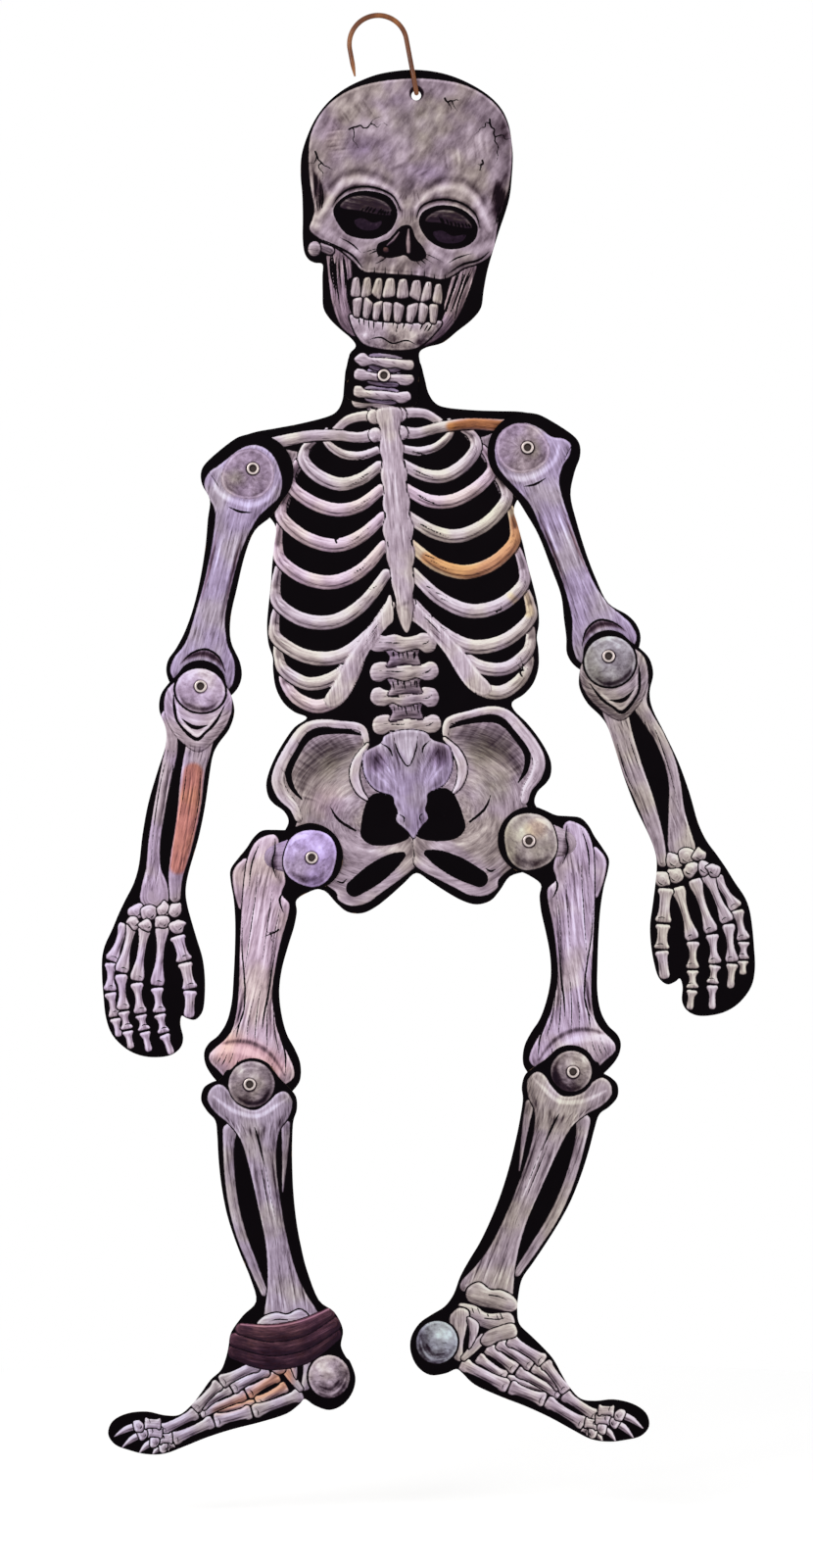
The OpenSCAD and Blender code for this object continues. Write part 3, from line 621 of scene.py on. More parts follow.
def draw_thigh(sheet, tone, ball_tone, ball_tint, neck_tint):
    """Ball with its eyelet, the neck, two knobs at the top of the shaft, and the knuckles of the knee."""
    sheet.rod([(-48, -17, 3), (-50.5, -26, 4.6), (-47, -38, 4.2), (-42, -50, 2.5)], 0.68, 4, 0.26)
    sheet.plate(THIGH_BONE, tone, 9, 0.26)
    sheet.dashes([(-40, -20), (-12, -36)], (12, -100), 9, 15, 1.2, 0.2, fan=(10, -90))
    sheet.dashes([(-41, -10), (-26, -10)], (6, -70), 6, 16, 0.9, -0.28)
    sheet.dashes([(-22, -30), (-10, -40)], (4, -60), 5, 17, 0.9, -0.28)
    sheet.dashes([(-38, -20), (-12, -40)], (10, -80), 3, 116, 0.4)
    sheet.wipe([(-38, -75, 1), (-31, -98, 2.4), (-26, -115, 2.6), (-22.5, -130, 2.2), (-24, -142, 1)],
               -0.2, 1.6)
    sheet.lines_of_ink([(-39, -58, 0.1), (-33.5, -80, 0.5), (-27, -98, 0.6), (-21.5, -115, 0.7),
                        (-19, -132, 0.5), (-23, -146, 0.1)],
                       [(-8, -72, 0.1), (-6.5, -92, 0.5), (-4.6, -108, 0.8), (-3.4, -126, 0.7),
                        (-1.5, -139, 0.1)])
    sheet.dashes([(-25, -148), (18, -150)], (4, 70), 9, 18, 0.9, -0.3, fan=(-22, 60))
    sheet.dashes([(-24, -150), (19, -152)], (4, 52), 5, 118, 0.45, fan=(-22, 50))
    sheet.dashes([(-24, -148), (17, -148)], (2, 64), 9, 19, 1.1, 0.2, fan=(-19, 60))
    sheet.wipe([(-12, -50, 0.6), (-9.5, -72, 2), (-7.5, -96, 2), (-3, -116, 1.6), (4, -132, 0.6)], -0.26, 2)
    sheet.rod([(-27, -7, 8), (-18, -4, 12), (-8, -1, 15)],
              0.62, 7, 0.14, 0.06, tint=neck_tint, gap=0, edge=0)
    sheet.wipe([(-31, 3, 1), (-28, -5, 3), (-26, -15, 3.4), (-18, -24, 2)], -0.3, 3)
    sheet.lines_of_ink([(-31, 7, 0.2), (-28.5, -2, 0.6), (-28, -12, 0.7), (-22, -22, 0.2)])
    sheet.plate([(-20, 8), (-13, 17), (-2, 21), (9, 19.5), (16.5, 11), (18.5, -1), (17, -12), (9.5, -20.5),
                 (-2, -22), (-14, -18), (-20.5, -8)],
                ball_tone, 14, 0.2, 0.14, tint=ball_tint, gap=1.0, weave=CLOUDED, hatch=0.5, heading=60)
    sheet.dabs((-2, 0), (14, 14), 6, 12, 10, 0.1)
    if sheet.side == RIGHT:
        sheet.glaze(sheet.disc((-7, 8), 11, 10), OCHRE, 0.9, 6)
    sheet.wipe([(-18, 5, 0.8), (-15.5, 11, 2.2), (-9, 15.5, 1.2)], 0.36, 1.4)
    sheet.shade(sheet.disc((3, 8), 10, 6.5, -35), 0.18, 5)
    sheet.wipe([(-14, -13, 1), (-4, -17, 3), (8, -14, 2.5), (15, -4, 1)], -0.14, 2.5)
    sheet.lines_of_ink([(12, -138, 0.1), (20, -150, 0.7), (24, -164, 0.2)],
                       [(-41, 2, 0.1), (-43, -16, 0.7), (-40, -36, 0.1)],
                       [(-14, -30, 0.2), (-15, -38, 0.9), (-10, -46, 0.3)])
    sheet.wipe([(-34, -160, 1), (-22, -152, 2.2), (-6, -149, 2.6), (10, -154, 2.4), (24, -166, 1.4)],
               -0.36, 2)
    sheet.wipe([(-34, -165, 2), (-22, -158, 4), (-6, -156, 4.5), (10, -162, 3)], 0.2, 3)
    sheet.wipe([(-35, -164, 1), (-30, -158, 2.6), (-22, -156, 1)], 0.2, 1.6)
    sheet.dashes([(-30, -172), (20, -172)], (4, 16), 10, 20, 0.4, fan=(-4, 14))


# The long bones of a foot as start, end and half-width, and the toes as a bone's ends, knuckle and claw
FOOT_BONES = (
    ((9, -230), (-16, -239), 4.2), ((-17, -239.5), (-62, -240), 3.4), ((-62, -239), (-92, -248.5), 4.6),
    ((4, -221), (-22, -231), 4.6), ((-23, -231.5), (-60, -240), 4.0), ((-3, -215), (-33, -225), 4.6),
    ((-34, -225), (-59, -234.5), 4.0), ((-10, -210), (-41, -219), 4.8), ((-41.5, -219.5), (-64, -236), 4.4),
    ((20, -238), (-20, -245.5), 5.0), ((-21, -245), (-50, -247.5), 5.2),
    ((-51, -247.5), (-84, -256.5), 4.8))
TOES = (
    ((-84, -258.5), (-90, -260.5), (-92, -261), (-101, -265)),
    ((-84, -255), (-94, -254), (-98, -255.5), (-111, -262.5)),
    ((-91, -250), (-102, -247.5), (-106, -248.5), (-123, -256)),
    ((-91, -243), (-103, -240.5), (-108, -241.5), (-128, -247)))


def draw_foot(sheet):
    """A foot from the side: long bones in a fan, clawed toes, and the small bones under the ankle."""
    def place(*points):
        return turned(points, TOE_DIP[sheet.side], HEEL)

    tint = ASH if sheet.side == LEFT else PLAIN
    for start, end, flare in FOOT_BONES:
        a, b = place(start, end)
        small_bone(sheet, a, b, flare, flare * 0.74, tone=0.66, tint=tint)
    for k, toe in enumerate(TOES):
        a, b, knuckle, point = place(*toe)
        small_bone(sheet, a, b, 4.0, 3.2, tone=0.7, tint=tint)
        hook = (knuckle + point) / 2 + (0, 1.4)
        claw = [(*knuckle, 2.6), (*hook, 2.3), (*point, 0.3)]
        sheet.rod(claw, 0.76, 3, 0.3, tint=tint, gap=1.0)
        sheet.wipe([(x, y - half * 0.4, half * 0.3) for x, y, half in claw], -0.3, 0.6)
        pebble(sheet, *knuckle, 3.9, 4.3, 140 + k, tint)
    sheet.rod(place((19, -234, 2), (14, -225, 3), (9, -215, 3.4)), 0.68, 4, 0.3)
    sheet.plate(place((10, -218), (8, -210), (1, -204), (-10, -198), (-15, -206), (-4, -213), (4, -220)),
                0.7, 5, 0.3, heading=-30)
    sheet.plate(place((25, -203), (16, -205), (14, -213), (17, -226), (20, -214)), 0.66, 4, 0.3, heading=70)


# The large bone of the shin, from the knee down its outer side and up its inner side, and two ankle bones
SHIN_BONE = [
    (-30, -1), (-33, -9), (-28, -19), (-19, -28), (-12, -38), (-8, -50), (-4.5, -70), (-1, -95), (2, -120),
    (2, -142), (0, -160), (-3, -174), (-4, -184), (8, -186), (20, -181), (34, -185), (37, -178), (30, -164),
    (23.5, -146), (19, -122), (16.5, -98), (15, -72), (16, -52), (20, -37), (28, -27), (31.5, -16),
    (27, -8), (20, -9), (13, -15), (2, -20), (-11, -14), (-17, -3), (-23, 2)]
ANKLE_BONES = (
    [(31, -182), (24, -175), (14, -178), (6, -176), (-4, -178), (-10, -184), (-5, -190), (8, -191),
     (20, -192), (29, -190)],
    [(34, -195), (22, -193), (12, -196), (2, -193), (-6, -191), (-11, -197), (-8, -204), (4, -207),
     (18, -206), (29, -202)])


def draw_shin(sheet, ball, ball_tint, heel_tint):
    """Ball with its eyelet in the shin bone's wide head, the thin bone beside it, ankle, heel and foot."""
    sheet.rod([(-18, -34, 5.4), (-20, -46, 4.2), (-21, -68, 3.8), (-20, -90, 3.8), (-16, -114, 3.8),
               (-9, -138, 3.4), (-2, -160, 2.6)], 0.62, 4.2, 0.3)
    sheet.dashes([(-22, -38), (-15, -38)], (1, -50), 4, 4, 0.7, -0.3)
    sheet.rod([(25, -33, 3.4), (23, -52, 2.4), (18.5, -84, 0.5)], 0.5, 3, 0.24)
    sheet.plate(SHIN_BONE, 0.65, 8, 0.26)
    sheet.dashes([(-4, -52), (13, -52)], (8, -84), 6, 5, 1.0, 0.18)
    sheet.dashes([(-3, -50), (14, -50)], (7, -84), 6, 6, 0.9, -0.26)
    sheet.dashes([(-2, -60), (12, -60)], (7, -70), 2, 106, 0.35)
    sheet.dashes([(1, -176), (32, -178)], (0, 54), 7, 7, 0.9, -0.28, fan=(-9, 50))
    sheet.dashes([(1, -176), (32, -178)], (1, 44), 6, 8, 1.0, 0.2, fan=(-8, 40))
    sheet.dashes([(-24, -20), (0, -30), (25, -24)], (14, -22), 8, 107, 1.0, -0.26, fan=(-11, -24))
    sheet.dashes([(-22, -22), (0, -31), (24, -25)], (13, -20), 7, 108, 0.9, 0.2, fan=(-10, -22))
    if sheet.side == RIGHT:
        sheet.hole(sheet.disc((1.5, -1), ball + 2.4, ball + 2))
    sheet.bone(sheet.disc((1.5, 0), ball), 0.54, 13, 0.24, 0.18, tint=ball_tint, gap=0.8, weave=CLOUDED,
               hatch=0.5)
    if sheet.side == RIGHT:
        sheet.wipe([(13, 6, 1), (13.5, -3, 3), (8, -10, 3.4), (-1, -13, 1)], -0.3, 2.4)
    sheet.dabs((2, -1), (12, 12), 5, 14, 10, 0.16)
    sheet.shade(sheet.disc((6, 6), 7, 5, 30), 0.14, 4)
    sheet.wipe([(-9, 8, 0.6), (-2, 12.5, 1.3), (7, 11.5, 0.6)], 0.2, 1)
    sheet.wipe([(-10, -9, 0.8), (-1, -14.5, 2.4), (9, -13, 2.4), (15, -5, 0.8)], -0.3, 2)
    sheet.wipe([(-28, -7, 1.5), (-14, -19, 2.4), (4, -24.5, 2.4), (19, -18, 2), (28, -13, 1)], 0.22, 1.6)
    sheet.lines_of_ink([(1, -33, 0.2), (3.5, -44, 1.0), (6, -64, 0.2)])
    sheet.shade(sheet.patch([(-9, -31), (2, -35), (10, -33), (7.5, -46), (6, -62), (1, -46)]), -0.26, 4)
    sheet.wipe([(-2, -179, 1.4), (8, -181, 1.8), (20, -176, 1.6), (33, -180, 1.4)], 0.2, 1.4)
    for lump in ANKLE_BONES:
        sheet.plate(lump, 0.68, 6, 0.34, gap=1.2, heading=0)
        (ax, ay), (bx, by), (cx, cy) = lump[4:1:-1]
        sheet.lines_of_ink([(ax + 3, ay - 4, 0.1), (bx, by - 5, 0.5), (cx, cy - 4, 0.5)])
    sheet.dashes([(-4, -197), (22, -199)], (4, 5), 5, 9, 0.5)
    sheet.plate([(38, -206), (33, -198), (25, -199), (23.5, -211), (22.5, -223), (20, -236), (27, -235),
                 (29.5, -222), (35, -214)], 0.66, 5, 0.3, gap=1.3, heading=75)
    sheet.bone(sheet.disc((42, -228), 15.8, 16.4),
               0.6, 13, 0.3, 0.2, tint=heel_tint, gap=1.6, weave=CLOUDED, hatch=0.6)
    sheet.dabs((42, -228), (11, 11), 4, 12, 10, 0.18)
    sheet.shade(sheet.disc((39, -221), 7, 6, 30), 0.2, 4)
    sheet.wipe([(32, -238, 0.6), (42, -241.5, 1.6), (51, -236, 1.2), (55, -228, 0.5)], 0.34, 1)
    sheet.wipe([(33, -234, 0.6), (42, -237.5, 1.8), (49, -232, 1.2)], -0.3, 1.2)
    draw_foot(sheet)


def draw_ankle_wrap(sheet):
    """Strips of dark cloth wound round the ankle, with a plain pale hem, and the rust that ran off them."""
    strips = (
        [(-28, -203, 6), (-4, -211, 7.5), (24, -209, 7.5), (48, -196, 6)],
        [(-27, -194, 5.5), (-2, -201, 7), (24, -199, 7), (49, -188, 5.5)],
        [(-22, -186, 4.5), (0, -191, 6.5), (24, -189, 6.5), (46, -180, 4.5)])
    for k, strip in enumerate(strips):
        sheet.rod(strip, tone=0.28 + 0.05 * k, crown=5, relief=0.2, rim=0.16, tint=PLUM, gap=0.6, edge=0.08)
        sheet.wipe([(x, y + half * 0.78, 0.7) for x, y, half in strip], 0.3 if k < 2 else 0.6, 0.6)
    run = sheet.patch([(16, -216), (-4, -220), (-24, -232), (-50, -243), (-46, -252), (-14, -246),
                       (14, -236)])
    sheet.glaze(run, RUST, 0.75, 6)
    sheet.shade(run, 0.06, 6)


# Ribs of the right side from the top down, each from the breast bone outwards
RIBS = (
    [(10, -57, 3), (22, -60, 3.2), (35, -58, 3.2), (45, -51, 2.8), (49, -44, 2.2), (47, -38, 1.6)],
    [(9, -69, 4), (24, -78, 4.6), (40, -80.5, 5), (56, -73, 5), (66, -61, 4.4), (64, -51, 3.4),
     (56, -45, 2.4)],
    [(9, -87, 4), (26, -98, 4.8), (44, -100, 5), (62, -93, 5), (76, -81, 4.4), (77, -71, 3.4),
     (71, -61, 2.4)],
    [(9, -108, 4), (28, -122, 5), (48, -127, 5.2), (70, -119, 5), (86, -103, 4.6), (85, -91, 3.6),
     (79, -82, 2.6)],
    [(10, -130, 4), (28, -147, 5), (50, -155, 5.4), (72, -150, 5.2), (89, -136, 4.6), (91, -122, 3.6),
     (88, -106, 2.6)],
    [(10, -152, 4), (29, -173, 5), (52, -185, 5.4), (76, -182, 5.2), (94, -168, 4.6), (95, -154, 3.6),
     (91, -138, 2.6)],
    [(9, -176, 4), (26, -197, 5), (50, -212, 5.4), (76, -210, 5.2), (97, -195, 4.6), (98, -182, 3.6),
     (95, -170, 2.6)],
    [(30, -203, 4), (40, -215, 4.4), (56, -228, 5), (76, -231, 5), (93, -220, 4.4), (97, -208, 3.6),
     (97, -197, 2.6)],
    [(33, -207, 5), (41, -226, 5), (53, -243, 5.2), (70, -249, 5.2), (86, -241, 4.6), (94, -228, 3.6),
     (94, -220, 2.6)])
RIB_TINTS = {LEFT: (PLAIN, PLAIN, PINK, PINK, PINK, PLAIN, PLAIN, PLAIN, PINK),
             RIGHT: (PLAIN, PLAIN, PINK, CREAM, OCHRE, PLAIN, PLAIN, PLAIN, CREAM)}


def draw_ribs(sheet, side):
    for k, (rib, tint) in reversed(list(enumerate(zip(RIBS, RIB_TINTS[side])))):
        line = np.array(rib) if side == RIGHT else mirrored(rib)
        sheet.rod(line, 0.76, 5, 0.36, 0.18, tint=tint, gap=1.0)
        path = smooth(line)
        sheet.wipe([(x, y + half * 0.42, 0.8) for x, y, half in path[6:-8]], 0.2, 0.8)
        sheet.wipe([(x, y - half * 0.5, 0.8) for x, y, half in path[4:-10]], -0.3, 0.8)
        sheet.wipe(line[-2:], -0.3, 3)
        sheet.dashes(path[-15:-5, :2], (-side * 12, -8), 4, 70 + k + 30 * side, 0.9, -0.26)
        sheet.dashes(path[2:8, :2], (side * 13, -6), 3, 90 + k + 30 * side, 0.4)


def draw_shoulder_blade(sheet, side):
    blade = [(58, -49), (70, -53), (84, -50), (88, -58), (84, -74), (88, -92), (84, -102), (78, -88),
             (72, -72), (64, -60)]
    sheet.plate(blade if side == RIGHT else mirrored(blade), tone=0.5, crown=8, heading=70)


def draw_collar_bone(sheet, side):
    """The collar bone over the first rib; the right one is stained brown towards the shoulder."""
    collar = [(8, -44, 5.4), (22, -46, 4), (40, -43, 4), (62, -42, 4.2), (92, -46, 4.8)]
    first = [(8, -31, 5), (18, -30, 3.8), (30, -32, 3.4), (40, -39, 3)]
    place = np.array if side == RIGHT else mirrored
    sheet.rod(place(first), 0.72, 4, 0.3)
    sheet.rod(place(collar), 0.7, 4.5, 0.3)
    for knob in place([(10, -31), (10, -45)]):
        sheet.bone(sheet.disc(knob, 5, 5.6), 0.74, 4, 0.3, weave=CLOUDED)
    if side == RIGHT:
        sheet.wipe(place([(52, -43, 4), (66, -42, 6), (90, -46, 6)]), -0.14, 3)
        sheet.glaze(sheet.stroke(place([(48, -43, 5), (66, -42, 6), (90, -46, 6)])), RUST, 1.0, 3)


VERTEBRA = [
    (-26.5, -2), (-25, 4.5), (-20, 6.5), (-14, 4.5), (-6, 6), (2, 4), (10, 5.5), (15, 7.5), (23, 6),
    (26, 0), (24, -6), (18, -7.5), (12, -4.5), (5, -6), (-2, -7.4), (-9, -5), (-16, -7.5), (-23, -6.5)]


def draw_spine(sheet):
    """The lumbar bones with the discs between them, from the pelvis up."""
    for k, y in enumerate((-267.5, -246.5, -227, -205)):
        across = -3.3 + 0.6 * k
        disc = [(-13, -7), (-10.5, 0), (-13, 7), (0, 5.5), (13, 7), (11, 0), (12, -7), (0, -5.5)]
        sheet.plate(moved(disc, across, y - 11), 0.5, 6, 0.2, tint=MAUVE, heading=0)
        sheet.dashes([(across - 10, y - 6), (across + 10, y - 7)], (1, -9), 7, 89 + k, 0.6)
        shape = turned(VERTEBRA if k % 2 else mirrored(VERTEBRA), -4 + 1.5 * (-1) ** k)
        sheet.plate(moved(shape, across, y), 0.72, 5, 0.3, 0.2, heading=0)
        sheet.lines_of_ink([(across - 20, y + 2, 0.1), (across - 6, y, 0.5), (across + 4, y + 0.4, 0.1)],
                           [(across + 12, y - 3, 0.1), (across + 18, y - 2, 0.6),
                            (across + 22, y + 1, 0.1)])


# The breast bone, the margin of the lowest ribs, and how far each side's margin lies to the right
BREAST_BONE = [
    (1, -24.5), (10, -26), (11, -33), (8, -44), (10.5, -55), (9.5, -66), (12, -76), (10.5, -87),
    (12.5, -98), (11.2, -108), (13.5, -118), (11.6, -129), (12.9, -139), (10.6, -150), (11, -160),
    (8.6, -171), (8.4, -181), (6, -191), (2.4, -198), (-1.6, -191), (-3.8, -181), (-4, -171), (-6.2, -160),
    (-6.4, -150), (-8.7, -139), (-8, -129), (-10, -118), (-7.4, -108), (-8.4, -98), (-6.6, -87),
    (-8.2, -76), (-6, -66), (-7.4, -55), (-5, -44), (-8, -33), (-7, -26)]
RIB_MARGIN = [
    (6, -168), (11, -176), (17, -184), (25, -192.5), (35.5, -205.5), (44.5, -217), (53, -231), (62, -243),
    (58, -250), (48, -246), (41, -238), (34.5, -225), (27, -212), (18, -200), (10, -192), (5, -186)]
MARGIN_SHIFT = {LEFT: -2, RIGHT: 1}


def draw_breast_bone(sheet):
    """The breast bone down the middle, over the two margins that carry the lowest ribs."""
    for side in (LEFT, RIGHT):
        margin = [(side * x + MARGIN_SHIFT[side], y) for x, y in RIB_MARGIN]
        sheet.plate(margin, 0.75, 4.6, 0.2, 0.08, gap=0.1, hatch=0.6)
        sheet.dashes([(side * 14, -184), (side * 20, -196)], (side * 26, -32), 4, 97 + side, 0.8, -0.26)
        sheet.lines_of_ink([(side * 14, -184, 0.1), (side * 22, -193, 0.5), (side * 30, -203, 0.1)])
    sheet.plate(BREAST_BONE, 0.74, 5.4, 0.22, gap=0.7, hatch=0.6)
    for top in (-30, -70, -110, -150):
        sheet.dashes([(-4, top), (8, top)], (0, -44), 5, 85 - top, 0.9, -0.2)
        sheet.dashes([(-4, top), (8, top)], (0, -40), 4, 86 - top, 0.9, 0.2)
    for side in (LEFT, RIGHT):
        for rib in RIBS[1:7]:
            y = rib[0][1]
            sheet.lines_of_ink([(2 + side * 8, y + 5, 0.1), (2 + side * 9, y + 1, 0.5),
                                (2 + side * 8, y - 4, 0.1)])
    sheet.dabs((2, -180), (6, 12), 3, 10, 87, 0.16)


# The pelvis, drawn as its left half from an axis that lies a little to the left
PELVIS_AXIS = -4.5
HIP_BONE = [
    (-29, -283), (-33, -266), (-50, -261.5), (-66, -259), (-79, -263), (-89, -275), (-99, -291),
    (-104, -304), (-102, -315), (-94, -322), (-88, -334), (-93, -350), (-88, -372), (-64, -390),
    (-61, -398), (-52, -403), (-40, -402), (-28, -395), (-1, -377.5), (0, -368), (0, -356), (-10, -340),
    (-20, -318), (-30, -312)]
CREST = [
    (-30, -280, 2), (-33.5, -268, 2.6), (-50, -264, 2.8), (-66, -262, 3), (-78, -266, 3.5), (-88, -278, 4),
    (-97, -292, 4.2), (-100.5, -304, 4.6), (-97, -315, 4.4), (-90, -324, 3.4), (-87, -333, 2.6)]
CREST_SHADOW = [
    (-34, -273, 0.8), (-48, -269, 2.4), (-66, -268, 3.4), (-77, -273, 3.4), (-85, -284, 3),
    (-91.5, -297, 2.6), (-90, -309, 2), (-83, -319, 0.6)]
HOLLOW = [(-36, -275), (-60, -270), (-80, -278), (-90, -298), (-84, -314), (-66, -304), (-46, -296)]
INLET = [
    (-29, -319.5), (-22, -319), (-16, -323), (-13, -332), (-10.5, -342), (-4, -351), (-4.5, -355.5),
    (-17, -359), (-32, -358), (-40, -351), (-39, -340), (-35, -327)]
ARCH_SLOT = [(-48, -390, 6.6), (-33, -380.8, 8.2), (-19, -372.4, 6.4), (-9.5, -367.4, 2.6)]
LOWER_ARCH = [(-62, -392, 4), (-52, -400.5, 4), (-36, -396, 4.5), (-16, -383, 4.5), (-2, -372, 4)]
BRIM = [(-29.5, -281, 1.2), (-38, -292, 3), (-41.5, -304, 3.6), (-38.5, -316, 2.6), (-33, -323, 0.8)]
SACRUM_SIDE = [
    (0, -272), (15, -275), (20, -281), (32, -287), (34, -297), (32.5, -306.5), (26, -316), (14, -321.5),
    (12.5, -328), (10.5, -334), (12, -341), (5, -348), (0, -355)]


def hip_side(points, side):
    """Points drawn for the left half of the pelvis, put on either side of its axis."""
    placed = moved(points, PELVIS_AXIS, 0)
    return placed if side == LEFT else mirrored(placed, PELVIS_AXIS)


def draw_hip_bone(sheet, side):
    """One half of the pelvis: its blade, the pale crest round it, and the arch below."""
    def place(*points):
        return hip_side(points, side)

    sheet.plate(place(*HIP_BONE), 0.6, 9, 0.14, 0.14, hatch=0.7, swirl=place((-34, -338))[0])
    sheet.shade(sheet.patch(place(*HOLLOW)), -0.26, 12)
    sheet.glaze(sheet.disc(place((-56, -290))[0], 26, 18), OLIVE, 0.9, 12)
    sheet.glaze(sheet.disc(place((-64, -322))[0], 18, 16), PINK if side == LEFT else OLIVE, 0.9, 10)
    sheet.shade(sheet.disc(place((-50, -318))[0], 9, 18, 15), 0.14, 7)
    sheet.lines_of_ink(place(*CREST_SHADOW), place((-62, -326, 0.3), (-56, -337, 1.1), (-44, -346, 0.9)))
    inward, across = (-side * 14, -24), (-side * 24, -8)
    for seed, amount in ((81, -0.09), (80, 0.08), (79, -0.06)):
        sheet.dashes(place(*CREST_SHADOW)[:, :2], inward, 18, seed, 1.8, amount, fan=across)
    sheet.rod(place(*CREST), 0.78, 4.4, 0.26, 0.14, gap=0.6)
    sheet.dashes(place(*CREST)[:, :2], (-side * 5, -6), 14, 78, 0.6, -0.26, fan=(-side * 4, -7))
    sheet.rod(place(*BRIM), 0.8, 3.4, 0.26, gap=1.1)
    sheet.wipe(place((-56, -352, 3), (-38, -362, 4), (-14, -363, 4)), 0.16, 3)
    sheet.wipe(place(*LOWER_ARCH), 0.2, 3)
    sheet.shade(sheet.disc(place((-58, -370))[0], 10, 12), -0.12, 7)
    sheet.hole(sheet.patch(place(*INLET)))
    sheet.lines_of_ink(place(*ARCH_SLOT))
    sheet.lines_of_ink(place((-62, -383, 0.2), (-57, -385, 0.9), (-53, -382, 0.3)))


def draw_pelvis(sheet):
    for side in (LEFT, RIGHT):
        draw_hip_bone(sheet, side)
    sacrum = np.vstack([SACRUM_SIDE, mirrored(SACRUM_SIDE[1:-1])[::-1]])
    sheet.plate(moved(sacrum, PELVIS_AXIS, 0), 0.62, 8, 0.16, 0.1, tint=BLUE, hatch=0.5)
    for side in (LEFT, RIGHT):
        sheet.shade(sheet.disc(hip_side([(-25, -293)], side)[0], 10, 11), -0.3, 8)
        sheet.glaze(sheet.disc(hip_side([(-25, -293)], side)[0], 12, 12), VIOLET, 0.8, 6)
        sheet.dashes(hip_side([(-30, -286), (-8, -277)], side), (-side * 24, -26),
                     8, 82, 1.0, -0.18, fan=(-side * 6, -44))
        sheet.dashes(hip_side([(-31, -300), (-14, -288)], side), (-side * 22, -18),
                     7, 83, 1.3, 0.16, fan=(-side * 9, -40))
        sheet.wipe(hip_side([(-22, -308, 1), (-12, -320, 2.4), (-4, -336, 1.4)], side), 0.16, 2)
        sheet.lines_of_ink(hip_side([(-19, -281, 0.2), (-13, -286, 0.8), (-11, -294, 0.1)], side),
                           hip_side([(-10, -336, 0.1), (-6, -339, 0.7), (-7, -344, 0.2)], side))
    tip = moved([(-9, -278), (9, -278), (6, -290), (0, -300), (-6, -290)], PELVIS_AXIS, 0)
    sheet.shade(sheet.patch(tip), 0.14, 3)
    sheet.lines_of_ink(moved([(-9, -277, 0.2), (-7, -288, 0.7), (0, -300, 0.5), (7, -288, 0.7),
                              (9, -277, 0.2)], PELVIS_AXIS, 0))


def neck_bar(sheet, y, wide, lean):
    """One bone of the neck, knobbly at both ends, no two alike."""
    draw = np.random.default_rng(int(10 * y) + 500)
    bar = [(-wide, 0.5), (-wide + 2, 3.8), (-17, 4.2), (-12, 2.8), (0, 2.4), (12, 3.0), (17, 4.4),
           (wide - 2, 3.8), (wide, 0), (wide - 3, -3.6), (14, -4.2), (9, -2.6), (0, -3.8), (-10, -2.8),
           (-15, -4.4), (-wide + 3, -3.6)]
    bar = np.array(bar) + draw.uniform(-1, 1, (len(bar), 2)) * (1.6, 0.7)
    sheet.plate(turned(moved(bar, 0, y), lean), tone=0.7, crown=4, relief=0.3, heading=0)
    sheet.dashes(turned([(-16, y + 1), (14, y + 1)], lean), (6, -2.4), 4, int(10 * y) + 501, 0.6, -0.3)


def draw_neck(sheet, rows, lean=0.0):
    """Neck bones: a bar at each height, over the narrower links between them."""
    for y in rows:
        link = turned([(-12, y + 5), (12, y + 5), (11, y - 6), (-11, y - 6)], lean)
        sheet.plate(link, tone=0.44, crown=5, tint=BLUE, heading=0)
    for y in rows:
        neck_bar(sheet, y, 23, lean)


def draw_torso(sheet):
    draw_neck(sheet, (14, 2, -10, -21), -8)
    for side in (LEFT, RIGHT):
        draw_shoulder_blade(sheet, side)
        draw_ribs(sheet, side)
        draw_collar_bone(sheet, side)
    draw_spine(sheet)
    draw_breast_bone(sheet)
    draw_pelvis(sheet)
    sheet.crack((-46, -125), 80, 9, 5, 1)
    sheet.crack((88, -238), 75, 16, 9, 2)
    sheet.crack((72, -187), 60, 9, 3, 1)
    sheet.glaze(sheet.stroke([(22, -142, 6), (50, -155, 7), (72, -150, 7), (90, -134, 7), (91, -118, 5)]),
                RUST, 0.8, 3)
    sheet.glaze(sheet.stroke([(84, -176, 4), (97, -190, 5), (96, -176, 4)]), OCHRE, 1.0, 3)


# Forms of the skull, in mm up from the neck's eyelet, and its teeth as place and half-width
CRANIUM = [
    (-69, 104), (-68, 113), (-67.5, 121), (-72.5, 138), (-76, 156), (-77, 174), (-73, 189), (-65, 202),
    (-51.5, 213.5), (-32.5, 222), (-6, 228), (17, 229.5), (37, 227.5), (55, 220), (68, 208.5), (76, 192),
    (78.5, 174), (78.5, 155), (76.5, 140), (73.5, 126), (73, 114), (71.5, 102), (63, 94), (52, 89),
    (42, 81), (34, 78), (20, 79), (0, 78), (-16, 77.5), (-25, 77.5), (-33, 84), (-45, 92), (-58, 97)]
CHIN = [
    (-31, 43), (-28, 34), (-23, 26.5), (-15, 21), (4, 20), (22, 23.5), (33, 34), (39, 46), (20, 43),
    (0, 41), (-20, 41.5)]
MOUTH = [
    (-36, 69), (-29, 73), (-14, 75.5), (6.7, 77), (24, 76), (40, 71), (40, 59.5), (39, 48), (27.5, 43.5),
    (9, 41), (-10, 40), (-23.3, 41.3), (-31, 45.5), (-35, 58.5)]
LEFT_SOCKET = [
    (-53, 119.5), (-48.5, 130), (-38, 137), (-25, 139), (-12.5, 136.5), (-5.4, 129), (-4, 120.5),
    (-8, 110.5), (-18, 103.5), (-31, 102), (-43, 105.5)]
